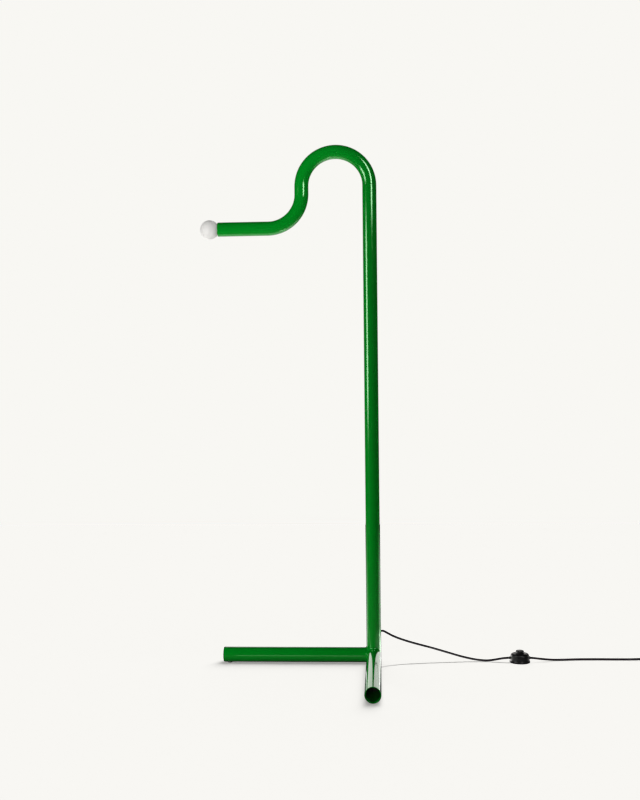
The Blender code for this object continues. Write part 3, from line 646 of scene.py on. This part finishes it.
def arm_line():
    """Stations along the arm: place, direction outwards in the bend's plane, and how far it is squeezed."""
    stations = []

    def squeeze(angle, whole):
        ramp = min(1.0, angle / SQUEEZE_RAMP, (whole - angle) / SQUEEZE_RAMP)
        return max(0.0, ramp) * BEND_SQUEEZE

    low = SWIVEL.z + SEAM_GAP
    for lift in (RIM_ROUND, LEAD_IN * 0.6):
        stations.append((Vector((0, 0, low + lift)), Vector((1, 0, 0)), 0.0))
    for i in range(ARCH_STEPS + 1):
        angle = math.pi * i / ARCH_STEPS
        outward = Vector((math.cos(angle), 0, math.sin(angle)))
        centre = Vector((-BEND_RADIUS, 0, SWIVEL.z)) + outward * BEND_RADIUS
        if i == 0:
            centre.z = low + LEAD_IN
        stations.append((centre, outward, squeeze(angle, math.pi)))
    for share in (0.25, 0.5, 0.75):
        centre = Vector((-2 * BEND_RADIUS, 0, SWIVEL.z - ARM_DROP * share))
        stations.append((centre, Vector((-1, 0, 0)), 0.0))
    elbow = Vector((-3 * BEND_RADIUS, 0, SWIVEL.z - ARM_DROP))
    for i in range(ELBOW_STEPS + 1):
        angle = math.pi / 2 * i / ELBOW_STEPS
        inward = Vector((math.cos(angle), 0, -math.sin(angle)))
        stations.append((elbow + inward * BEND_RADIUS, -inward, squeeze(angle, math.pi / 2)))
    straight = -3 * BEND_RADIUS - ARM_MOUTH.x
    for share in (0.03, 0.1, 0.5, 0.9):
        centre = Vector((-3 * BEND_RADIUS - straight * share, 0, ARM_MOUTH.z))
        stations.append((centre, Vector((0, 0, 1)), 0.0))
    for back in (RIM_LAND, RIM_ROUND):
        stations.append((ARM_MOUTH + Vector((back, 0, 0)), Vector((0, 0, 1)), 0.0))
    return stations


def ring(centre, outward, radius, squeeze=0.0):
    """A section of the tube, squeezed in the bend's plane and spread across it."""
    points = []
    for step in range(AROUND):
        angle = 2 * math.pi * step / AROUND
        in_plane = radius * (1 - squeeze) * math.cos(angle)
        across = radius * (1 + squeeze * BEND_SPREAD) * math.sin(angle)
        points.append(centre + outward * in_plane + Vector((0, across, 0)))
    return points


def bent_arm():
    """The arm as one tube with its bore, from the joint line at the swivel to its open mouth."""
    stations = arm_line()
    first, last = stations[0], stations[-1]
    low = Vector((first[0].x, 0, first[0].z - RIM_ROUND))
    outer = [
        ring(low, first[1], TUBE_RADIUS - RIM_ROUND),
        ring(low + UP * RIM_ROUND * 0.2, first[1], TUBE_RADIUS - 0.25 * RIM_ROUND),
        *(ring(centre, outward, TUBE_RADIUS, squeezed) for centre, outward, squeezed in stations),
        ring(ARM_MOUTH + Vector((RIM_ROUND * 0.2, 0, 0)), last[1], TUBE_RADIUS - 0.25 * RIM_ROUND),
        ring(ARM_MOUTH, last[1], TUBE_RADIUS - RIM_ROUND),
        ring(ARM_MOUTH, last[1], BORE_RADIUS + BORE_EDGE),
    ]
    inner = [ring(ARM_MOUTH + Vector((BORE_EDGE, 0, 0)), last[1], BORE_RADIUS)]
    for centre, outward, squeezed in reversed(stations[1:-1]):
        inner.append(ring(centre, outward, BORE_RADIUS, squeezed))
    inner.append(ring(low, first[1], BORE_RADIUS))
    rows = [*outer, *inner, outer[0]]
    mesh = mesh_from("bent_arm", [(flat(rows), grid_faces(len(rows), AROUND))], smooth=math.radians(60))
    return piece("bent_arm", mesh, "green_lacquer", "arm", ("hook_tube",))


# Globe


def globe_arc(radius):
    """Half of the globe's outline at the given radius, from its far end round to the neck."""
    points = []
    for i in range(GLOBE_STEPS + 1):
        angle = math.radians(90 + (GLOBE_NECK_ANGLE - 90) * i / GLOBE_STEPS)
        points.append((max(0.0, radius * math.cos(angle)), GLOBE_CENTRE + radius * math.sin(angle)))
    return points


def opal_globe():
    """The blown globe: one wall outside and one inside, drawn in to a neck that goes into the screw cap."""
    outside = globe_arc(GLOBE_RADIUS)
    neck = [(0.0149, -0.0008), (0.0142, -0.0032), (0.0137, -0.0062), (0.0134, -0.0100), (0.0132, -0.0170)]
    inside = globe_arc(GLOBE_RADIUS - GLOBE_WALL)[::-1]
    back = [(r - GLOBE_WALL, h) for r, h in reversed(neck)]
    mesh = lathe("opal_globe", [*outside, *neck, *back, *inside], ARM_MOUTH, OUT_OF_ARM, 96)
    return piece("opal_globe", mesh, "opal_glass", "bulb", ("bulb_globe",))


# Foot switch


def ribbed(radius, height, angle):
    """Grip flutes round the button's side."""
    if radius < RIB_INNER or height < RIB_FLOOR:
        return radius
    return radius - RIB_DEPTH * (0.5 + 0.5 * math.cos(RIB_COUNT * angle)) ** 2


def foot_switch():
    """The switch's shells, button, spring and cord sleeves. Its block and screws stay as they are."""
    body_height = 0.0275
    cover = lathe(
        "switch_housing",
        [
            (0.0126, 0.0262), (0.0126, body_height, 0.0005), (0.0146, body_height, 0.0004),
            (0.0150, 0.0271, 0.0003), (0.0190, 0.0270, 0.0010), (0.0238, 0.0262, 0.0030),
            (0.0268, 0.0240, 0.0030), (0.0277, 0.0216, 0.0006), (0.0273, 0.0211, 0.0003),
            (0.0273, 0.0203, 0.0003), (0.0281, 0.0198, 0.0006), (0.0287, 0.0150, 0.0040),
            (0.0291, 0.0090, 0.0040), (0.0300, 0.0052, 0.0030), (0.0308, 0.0036, 0.0004),
            (0.0306, 0.0033, 0.0002), (0.0284, 0.0033, 0.0003), (0.0268, 0.0090, 0.0020),
            (0.0254, 0.0205, 0.0020), (0.0225, 0.0250, 0.0010), (0.0126, 0.0250, 0.0003),
        ],
        SWITCH_CENTRE, UP, 96, closed=True,
    )
    base = lathe(
        "switch_foot",
        [
            (0.0, 0.0030), (0.0302, 0.0030, 0.0002), (0.0315, 0.0023, 0.0006),
            (0.0315, 0.0006, 0.0004), (0.0309, 0.0, 0.0003), (0.0, 0.0),
        ],
        SWITCH_CENTRE, UP, 96,
    )
    button = lathe(
        "switch_plunger",
        [
            (0.0, 0.0356), (0.0030, 0.0356, 0.0004), (0.0034, 0.0359, 0.0003), (0.0044, 0.0359, 0.0003),
            (0.0048, 0.0356, 0.0003), (0.0064, 0.0356, 0.0003), (0.0068, 0.0359, 0.0003),
            (0.0078, 0.0359, 0.0003), (0.0082, 0.0357, 0.0003), (0.0096, 0.0358, 0.0006),
            (0.0116, 0.0350, 0.0014), (0.0121, 0.0330, 0.0010), (0.0122, 0.0300, 0.0008),
            (0.0122, 0.0247, 0.0002), (0.0145, 0.0247, 0.0003), (0.0145, 0.0227, 0.0003), (0.0, 0.0227),
        ],
        SWITCH_CENTRE, UP, 144, shape=ribbed,
    )
    made = [
        piece("switch_housing", cover, "black_plastic", "stand", ("switch_cover",)),
        piece("switch_foot", base, "black_plastic", "stand", ("switch_base",)),
        piece("switch_plunger", button, "black_plastic", "button", ("switch_button",)),
        contact_spring(),
    ]
    for name, side, node_name in (("cord_sleeve_in", -1, "switch_relief_in"),
                                  ("cord_sleeve_out", 1, "switch_relief_out")):
        made.append(cord_sleeve(name, side, node_name))
    made += [frame["nodes"][name] for name in ("switch_block", "switch_screw_1", "switch_screw_2")]
    return made


def tube_mesh(name, path, radius, sides=12):
    """A closed tube along a path, with a steady frame and domed ends."""
    rows = []
    up = UP
    for index, centre in enumerate(path):
        ahead = (path[min(index + 1, len(path) - 1)] - path[max(index - 1, 0)]).normalized()
        side = ahead.cross(up).normalized()
        up = side.cross(ahead)
        rows.append([
            centre + (side * math.cos(a) + up * math.sin(a)) * radius
            for a in (2 * math.pi * step / sides for step in range(sides))
        ])
    rows.insert(0, [path[0]] * sides)
    rows.append([path[-1]] * sides)
    return mesh_from(name, [(flat(rows), grid_faces(len(rows), sides))])


def contact_spring():
    """The coil spring under the button, on a mesh of its own."""
    low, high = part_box("switch_spring")
    wire, turns, steps = 0.00045, 4, 36
    radius = (high.x - low.x) / 2 - wire
    bottom, top = low.z + wire, high.z - wire
    path = []
    for i in range(turns * steps + 1):
        angle = 2 * math.pi * i / steps
        height = bottom + (top - bottom) * i / (turns * steps)
        path.append(SWITCH_CENTRE + Vector((radius * math.cos(angle), radius * math.sin(angle), height)))
    spring = piece("contact_spring", tube_mesh("contact_spring", path, wire), "bright_steel",
                   "stand", ("switch_spring",))
    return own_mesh(spring)


def cord_sleeve(name, side, node_name):
    """The short sleeve round the cord where it enters the switch."""
    mesh = lathe(
        name,
        [
            (CORD_BORE, OUTLET_REACH - 0.0004), (0.0031, OUTLET_REACH, 0.0002),
            (0.0036, OUTLET_REACH - 0.0008, 0.0003), (0.0044, OUTLET_REACH - 0.0034, 0.0006),
            (0.0044, 0.0249, 0.0003), (0.0058, 0.0245, 0.0003), (0.0058, 0.0233, 0.0003),
            (0.0036, 0.0150, 0.0003), (CORD_BORE, 0.0150, 0.0002),
        ],
        SWITCH_CENTRE + UP * OUTLET_HEIGHT, (side, 0, 0), 40, closed=True,
    )
    return piece(name, mesh, "black_plastic", "stand", (node_name,))


# Cord exit, cords and coil


def cable_gland():
    """The strain relief at the column: a tapered nose and a flange outside the wall, a lip inside it."""
    face = TUBE_RADIUS + 0.0003
    mesh = lathe(
        "cable_gland",
        [
            (CORD_BORE, GROMMET_NOSE), (0.0034, GROMMET_NOSE, 0.0003), (0.0042, face + 0.0024, 0.0006),
            (0.0046, face + 0.0021, 0.0003), (0.0060, face + 0.0014, 0.0005),
            (0.0062, face + 0.0010, 0.0003), (0.0062, face, 0.0002), (0.0050, face, 0.0001),
            (0.0050, BORE_RADIUS - 0.0018, 0.0002),
            (0.0058, BORE_RADIUS - 0.0020, 0.0003), (0.0058, BORE_RADIUS - 0.0032, 0.0004),
            (0.0042, 0.0125, 0.0003), (CORD_BORE, 0.0125),
        ],
        UP * EXIT_HEIGHT, EXIT_DIRECTION, 48, closed=True,
    )
    return piece("cable_gland", mesh, "black_plastic", "stand", ("cable_grommet",))


def exit_point(reach):
    """A point on the line along which the cord leaves the column."""
    return EXIT_DIRECTION * reach + UP * EXIT_HEIGHT


def outlet_point(side, reach):
    """A point on the line along which a cord enters the switch, on its left (-1) or right (1) side."""
    return SWITCH_CENTRE + Vector((side * reach, 0, OUTLET_HEIGHT))


def plug_point(reach):
    """A point on the plug's axis, in front of its face where reach is above zero."""
    return PLUG_POINT + UP * PLUG_RADIUS + PLUG_DIRECTION * reach


def ease(t):
    """A smooth step from 0 to 1."""
    t = min(max(t, 0.0), 1.0)
    return t * t * (3 - 2 * t)


def coil_turns():
    """The wound turns: in along the bottom layer, up a layer, out again, and so on, one cord apart."""
    points = []
    whole = COIL_TURNS_PER_LAYER * COIL_LAYERS
    steps = round(whole * COIL_STEPS_PER_TURN)
    for i in range(steps + 1):
        turn = whole * i / steps
        layers = turn / COIL_TURNS_PER_LAYER
        layer = min(int(layers), COIL_LAYERS - 1)
        share = layers - layer
        inward = share if layer % 2 == 0 else 1 - share
        radius = COIL_OUTER_LINE - inward * COIL_TURNS_PER_LAYER * COIL_PITCH
        climbed = sum(
            ease((turn - change * COIL_TURNS_PER_LAYER) / COIL_CLIMB + 0.5)
            for change in range(1, COIL_LAYERS)
        )
        angle = math.pi / 2 - 2 * math.pi * turn
        height = COIL_LIFT + COIL_PITCH * (0.5 + climbed)
        points.append(COIL_CENTRE + Vector((radius * math.cos(angle), radius * math.sin(angle), height)))
    return points


def cord_piece(name, points, nodes):
    """A round cord along points: an open curve with a round section."""
    curve = bpy.data.curves.new(name, "CURVE")
    curve.dimensions = "3D"
    curve.bevel_depth = CORD_RADIUS
    curve.bevel_resolution = 6
    curve.use_fill_caps = True
    spline = curve.splines.new("POLY")
    spline.points.add(len(points) - 1)
    for point, place in zip(spline.points, points):
        point.co = (*place, 1.0)
    spline.use_smooth = True
    return piece(name, curve, "black_cord", "stand", nodes)


def floor_flex():
    """The first length: out of the column, down to the floor and up into the foot switch."""
    route = [exit_point(GROMMET_NOSE + 0.003), *FLOOR_CORD_ROUTE, outlet_point(-1, OUTLET_REACH + 0.001)]
    points = [exit_point(GROMMET_NOSE - 0.0007), *smooth_route(route), outlet_point(-1, INSIDE_SWITCH)]
    flex = cord_piece("floor_flex", points, ("floor_cord",))
    return flex


def tail_flex():
    """The second length: along the floor to the wound coil, and from the top of the coil to the plug."""
    wound = coil_turns()
    run = Vector((0.004, 0, 0))
    lead = smooth_route([outlet_point(1, OUTLET_REACH + 0.001), *TAIL_CORD_ROUTE, wound[0] - run, wound[0]])
    tail = smooth_route([wound[-1], wound[-1] + run * 5, *PLUG_CORD_ROUTE, plug_point(PLUG_SLEEVE_BACK)])
    points = [outlet_point(1, INSIDE_SWITCH), *lead, *wound[1:-1], *tail, plug_point(INSIDE_PLUG)]
    flex = cord_piece("tail_flex", points, ("tail_cord", "cord_coil", "plug_cord"))
    return flex


def coil_strap():
    """The strap that holds the coil: a closed band round all the turns on one side."""
    thick, width, slack, corner = 0.0006, 0.009, 0.0006, 0.0026
    half_span = (COIL_TURNS_PER_LAYER * COIL_PITCH + COIL_PITCH) / 2 + slack
    bottom = 0.0001 + thick
    top = COIL_LIFT + COIL_LAYERS * COIL_PITCH + slack
    height = top - bottom
    middle = COIL_CENTRE + Vector((0, -COIL_MEAN_RADIUS, (top + bottom) / 2))

    def loop(grow):
        """The band's outline in the coil's section, rounded over the outer turns."""
        half_w, half_h, r = half_span + grow, height / 2 + grow, corner + grow
        points = []
        for quarter, (cx, cz) in enumerate(((1, 1), (-1, 1), (-1, -1), (1, -1))):
            for step in range(9):
                angle = math.pi / 2 * (quarter + step / 8)
                points.append((cx * (half_w - r) + r * math.cos(angle),
                               cz * (half_h - r) + r * math.sin(angle)))
        return points

    inner, outer = loop(0.0), loop(thick)
    rows = []
    for line, side in ((inner, -1), (inner, 1), (outer, 0.96), (outer, -0.96), (inner, -1)):
        rows.append([
            middle + Vector((side * width / 2, y, z)) for y, z in line
        ])
    mesh = mesh_from("coil_strap", [(flat(rows), grid_faces(len(rows), len(inner)))])
    return piece("coil_strap", mesh, "black_plastic", "stand", ("coil_tie",))


# Plug


def grip(radius, height, angle):
    """Finger grooves on two sides of the plug's tapered back."""
    if height > GRIP_FRONT or height < GRIP_BACK or radius < GRIP_INNER:
        return radius
    pinch = max(0.0, math.cos(2 * angle)) ** 4
    wave = 0.5 + 0.5 * math.cos(2 * math.pi * height / GRIP_PITCH)
    return radius - pinch * wave * GRIP_DEPTH


def mains_plug():
    """The plug's body, sleeve and pins, and the strap round the coil beside it."""
    body = lathe(
        "plug_moulding",
        [
            (0.0, -0.0004), (0.0120, -0.0004, 0.0004), (0.0128, 0.0, 0.0004), (0.0172, 0.0, 0.0008),
            (0.0185, -0.0012, 0.0010), (0.0185, -0.0070, 0.0004), (0.0181, -0.0073, 0.0003),
            (0.0181, -0.0079, 0.0003), (0.0185, -0.0082, 0.0004), (0.0185, -0.0128, 0.0020),
            (0.0168, -0.0168, 0.0020), (0.0154, -0.0196, 0.0010), (0.0140, -0.0224, 0.0010),
            (0.0126, -0.0252, 0.0010), (0.0112, -0.0280, 0.0010), (0.0098, -0.0312, 0.0012),
            (0.0086, -0.0340, 0.0006), (0.0064, -0.0340, 0.0003), (0.0062, -0.0250, 0.0003), (0.0, -0.0250),
        ],
        plug_point(0), PLUG_DIRECTION, 96, shape=grip,
    )
    sleeve_profile = [(CORD_BORE, -0.0518), (0.0034, -0.0520, 0.0003)]
    for index in range(5):
        back = -0.0510 + index * 0.0032
        swell = 0.0037 + 0.00046 * index
        sleeve_profile += [(swell + 0.0003, back, 0.0003), (swell + 0.0004, back + 0.0019, 0.0003),
                           (swell - 0.0004, back + 0.0021, 0.0003), (swell - 0.0004, back + 0.0030, 0.0003)]
    sleeve_profile += [(0.0059, -0.0345, 0.0003), (0.0059, -0.0252, 0.0002), (CORD_BORE, -0.0252)]
    sleeve = lathe("plug_sleeve", sleeve_profile[::-1], plug_point(0), PLUG_DIRECTION, 48, closed=True)
    made = [
        piece("plug_moulding", body, "black_plastic", "stand", ("plug_body",)),
        piece("plug_sleeve", sleeve, "black_plastic", "stand", ("plug_relief",)),
    ]
    across = Vector((-PLUG_DIRECTION.y, PLUG_DIRECTION.x, 0))
    for index, side in enumerate((-1, 1), start=1):
        foot = plug_point(0) + across * side * PIN_OFFSET
        pin = lathe(
            f"contact_pin_{index}",
            [(0.0, 0.0190), (0.0010, 0.0189, 0.0004), (0.0022, 0.0178, 0.0012), (0.0024, 0.0150, 0.0008),
             (0.0024, -0.0006, 0.0002), (0.0, -0.0006)],
            foot, PLUG_DIRECTION, 40,
        )
        made.append(piece(f"contact_pin_{index}", pin, "nickel", "stand", (f"plug_pin_{index}",)))
        made.append(frame["nodes"][f"earth_clip_{index}"])
    made.append(coil_strap())
    return made


# Finishes of the CAD nodes that stay


def finish_nodes():
    """Gives each CAD node the finish that its slot in the record names."""
    slots = {part["node"]: part["material_slot"] for part in frame["record"]["subparts"]}
    for name, obj in frame["nodes"].items():
        obj.data.materials.clear()
        obj.data.materials.append(MATERIALS[slots[name]])


# Studio


def studio_floor():
    """A plain pale floor that takes the object's shadows and otherwise matches the background. Its own colour,
    which only the gloss and the bounced light see, is darker in front of the lamp: painted shade that stands in
    for the front of the floor lying unlit."""
    half = 4.0
    mesh = bpy.data.meshes.new("studio_floor")
    corners = [(-half, -half, 0), (half, -half, 0), (half, half, 0), (-half, half, 0)]
    mesh.from_pydata(corners, [], [(0, 1, 2, 3)])
    floor = bpy.data.objects.new("studio_floor", mesh)
    bpy.context.scene.collection.objects.link(floor)
    material, shader = principled("studio_paper", (0.86, 0.855, 0.83), 0.9, Specular_IOR_Level=0.0)
    split = node(material, "ShaderNodeSeparateXYZ")
    link(material, surface_place(material), split.inputs["Vector"])
    # Painted shade: the floor's colour runs from dark grey in front of the lamp to pale behind it, standing in for
    # the unlit front of the floor
    painted_front_shade = mapped(material.node_tree, split.outputs["Y"], (-0.08, 0.18), (0.0, 1.0), eased=False)
    tint(material, painted_front_shade, shader.inputs["Base Color"], (0.10, 0.10, 0.10), (0.88, 0.87, 0.85))
    mesh.materials.append(material)
    floor.is_shadow_catcher = True
    return floor


def aimed(obj, place, target):
    """Puts obj at a place, facing the target, where the camera doesn't see it."""
    bpy.context.scene.collection.objects.link(obj)
    obj.location = place
    obj.rotation_euler = (Vector(target) - Vector(place)).to_track_quat("-Z", "Y").to_euler()
    obj.visible_camera = False
    return obj


def shine(light, place, target, lit, casters):
    """Hangs a light for the matt shading only: the gloss sees the reflector panels instead. It lights the
    objects of one collection, and where casters are given, only those throw its shadows."""
    lamp = aimed(bpy.data.objects.new(light.name, light), place, target)
    lamp.visible_glossy = False
    lamp.light_linking.receiver_collection = lit
    if casters:
        lamp.light_linking.blocker_collection = casters


def soft_light(name, place, target, size, power, lit, casters=None):
    """A rectangular softbox."""
    light = bpy.data.lights.new(name, "AREA")
    light.shape = "RECTANGLE"
    light.size, light.size_y = size
    light.energy = power
    shine(light, place, target, lit, casters)


def snooted(name, place, target, half_angle, size, power, lit, casters=None):
    """A spot with a soft-edged pool of light."""
    light = bpy.data.lights.new(name, "SPOT")
    light.energy = power
    light.spot_size = 2 * math.radians(half_angle)
    light.spot_blend = 1.0
    light.shadow_soft_size = size
    shine(light, place, target, lit, casters)


def reflector(name, place, target, size, strength, painted_front_shade):
    """A glowing panel seen only in the gloss. It fades out towards its edges over the given shares."""
    mesh = bpy.data.meshes.new(name)
    x, y = size[0] / 2, size[1] / 2
    mesh.from_pydata([(-x, -y, 0), (-x, y, 0), (x, y, 0), (x, -y, 0)], [], [(0, 1, 2, 3)])
    panel = aimed(bpy.data.objects.new(name, mesh), place, target)
    material = bpy.data.materials.new(name)
    material.use_nodes = True
    tree = material.node_tree
    tree.nodes.clear()
    split = node(material, "ShaderNodeSeparateXYZ")
    link(material, surface_place(material, (1 / x, 1 / y, 1.0)), split.inputs["Vector"])
    glow = []
    for axis, soft in zip("XY", painted_front_shade):
        from_middle = node(material, "ShaderNodeMath")
        from_middle.operation = "ABSOLUTE"
        link(material, split.outputs[axis], from_middle.inputs[0])
        glow.append(mapped(tree, from_middle.outputs["Value"], (1.0 - soft, 1.0), (1.0, 0.0)))
    emission = node(material, "ShaderNodeEmission")
    link(material, product(tree, product(tree, *glow), strength), emission.inputs["Strength"])
    out = node(material, "ShaderNodeOutputMaterial")
    link(material, emission.outputs["Emission"], out.inputs["Surface"])
    mesh.materials.append(material)
    panel.visible_diffuse = False
    panel.visible_shadow = False


def group(name, objects):
    """A collection that a light can be limited to."""
    made = bpy.data.collections.new(name)
    for obj in objects:
        made.objects.link(obj)
    return made


def leg_flag(name, direction):
    """An unseen sleeve within a leg's wall, so that the floor's light can throw the leg's shadow alone."""
    radius = TUBE_RADIUS - FLAG_INSET
    bm = bmesh.new()
    bmesh.ops.create_cone(bm, segments=32, radius1=radius, radius2=radius, depth=LEG_REACH)
    mesh = bpy.data.meshes.new(name)
    bm.to_mesh(mesh)
    bm.free()
    flag = bpy.data.objects.new(name, mesh)
    bpy.context.scene.collection.objects.link(flag)
    flag.location = Vector(direction) * (LEG_REACH / 2) + Vector((0, 0, LEG_AXIS_Z))
    flag.rotation_euler = Vector(direction).to_track_quat("Z", "Y").to_euler()
    for ray in ("camera", "diffuse", "glossy", "transmission"):
        setattr(flag, "visible_" + ray, False)
    return flag


def studio_light(floor, cord, standing):
    """The panels that the gloss shows, the lights on the lamp, and those on the floor, where only the legs,
    the cords and what is on them throw a shadow."""
    shapes = [obj for obj in bpy.context.scene.objects if obj.type in {"MESH", "CURVE"}]
    lamp = group("lamp", [obj for obj in shapes if obj != floor])
    paper = group("paper", [floor])
    flags = [leg_flag("left_flag", (-1, 0, 0)), leg_flag("front_flag", (0, -1, 0))]
    low = group("low", [*flags, cord, *standing])
    reflector("key_panel", (1.73, -2.45, 2.85), (0, 0, 1.85), (1.1, 2.0), 13.0, (0.25, 0.25))
    reflector("left_panel", (-2.18, -1.24, 1.30), (0, 0, 1.30), (1.05, 1.40), 9.0, (0.25, 0.50))
    reflector("low_strip", (-0.24, -0.135, 0.002), (-0.24, -0.02, 0.1), (0.44, 0.04), 1.8, (0.1, 0.6))
    soft_light("left_box", (-1.9, -1.1, 0.35), (0, 0, 0.35), (1.3, 1.3), 37, lamp)
    soft_light("front_box", (-0.4, -3.2, 0.5), (0, 0, 0.1), (0.6, 0.6), 14, lamp)
    soft_light("right_box", (1.9, -1.1, 1.8), (0, 0, 1.5), (1.3, 1.3), 7, lamp)
    soft_light("top_box", (0, -0.4, 3.0), (0, 0, 0.8), (2.0, 2.0), 9, lamp)
    snooted("arm_spot", (-0.5, -2.6, 0.8), (-0.37, 0, 1.64), 9.0, 0.25, 184, lamp)
    soft_light("floor_box", (0.4, 1.35, 1.9), (0, 0, 0), (1.8, 3.0), 75, paper, low)
    soft_light("paper_fill", (0, -0.5, 2.3), (0, 0, 0), (1.0, 1.0), 26, paper, paper)
    snooted("cord_spot", (0.5, 1.6, 1.6), (0.28, -0.02, 0), 7, 0.03, 1900, paper, group("cord", [cord]))


def studio_world():
    """A near-white surround for the camera. The object sees it bright and low behind, and dim elsewhere."""
    world = bpy.data.worlds.new("studio")
    bpy.context.scene.world = world
    world.use_nodes = True
    tree = world.node_tree
    tree.nodes.clear()

    def add(kind, **inputs):
        made = tree.nodes.new(kind)
        for name, value in inputs.items():
            made.inputs[name].default_value = value
        return made

    paper = (0.939, 0.930, 0.896, 1.0)
    seen = add("ShaderNodeBackground", Color=paper, Strength=1.0)
    felt = add("ShaderNodeBackground", Strength=1.0)
    where = add("ShaderNodeTexCoord")
    split = add("ShaderNodeSeparateXYZ")
    tree.links.new(where.outputs["Generated"], split.inputs["Vector"])
    behind = mapped(tree, split.outputs["Y"], (0.90, 0.975), (0.02, 1.45))
    low = mapped(tree, split.outputs["Z"], (0.35, 0.75), (1.0, 0.12))
    shade = add("ShaderNodeVectorMath")
    shade.operation = "SCALE"
    shade.inputs[0].default_value = paper[:3]
    tree.links.new(product(tree, behind, low), shade.inputs["Scale"])
    tree.links.new(shade.outputs["Vector"], felt.inputs["Color"])
    path = add("ShaderNodeLightPath")
    mix = add("ShaderNodeMixShader")
    out = add("ShaderNodeOutputWorld")
    tree.links.new(path.outputs["Is Camera Ray"], mix.inputs["Fac"])
    tree.links.new(felt.outputs["Background"], mix.inputs[1])
    tree.links.new(seen.outputs["Background"], mix.inputs[2])
    tree.links.new(mix.outputs["Shader"], out.inputs["Surface"])


def camera():
    """The camera, facing +Y apart from its small yaw, pitch and roll."""
    data = bpy.data.cameras.new("camera")
    data.lens = CAMERA_LENS
    data.sensor_width = 36.0
    made = bpy.data.objects.new("camera", data)
    bpy.context.scene.collection.objects.link(made)
    turn = (Matrix.Rotation(CAMERA_ROLL, 3, "Y") @ Matrix.Rotation(CAMERA_PITCH, 3, "X")
            @ Matrix.Rotation(CAMERA_YAW, 3, "Z"))
    right, forward, up = turn.row
    facing = Matrix((right, up, -forward)).transposed().to_4x4()
    made.matrix_world = Matrix.Translation(CAMERA_PLACE) @ facing
    bpy.context.scene.camera = made


camera()
floor = studio_floor()
studio_world()
bpy.context.scene.view_settings.view_transform = "Standard"

welded_stand()
bent_arm()
opal_globe()
cable_gland()
switch_pieces = foot_switch()
plug_pieces = mains_plug()
cord = floor_flex()
tail = tail_flex()
finish_nodes()
studio_light(floor, cord, [tail, *switch_pieces, *plug_pieces])
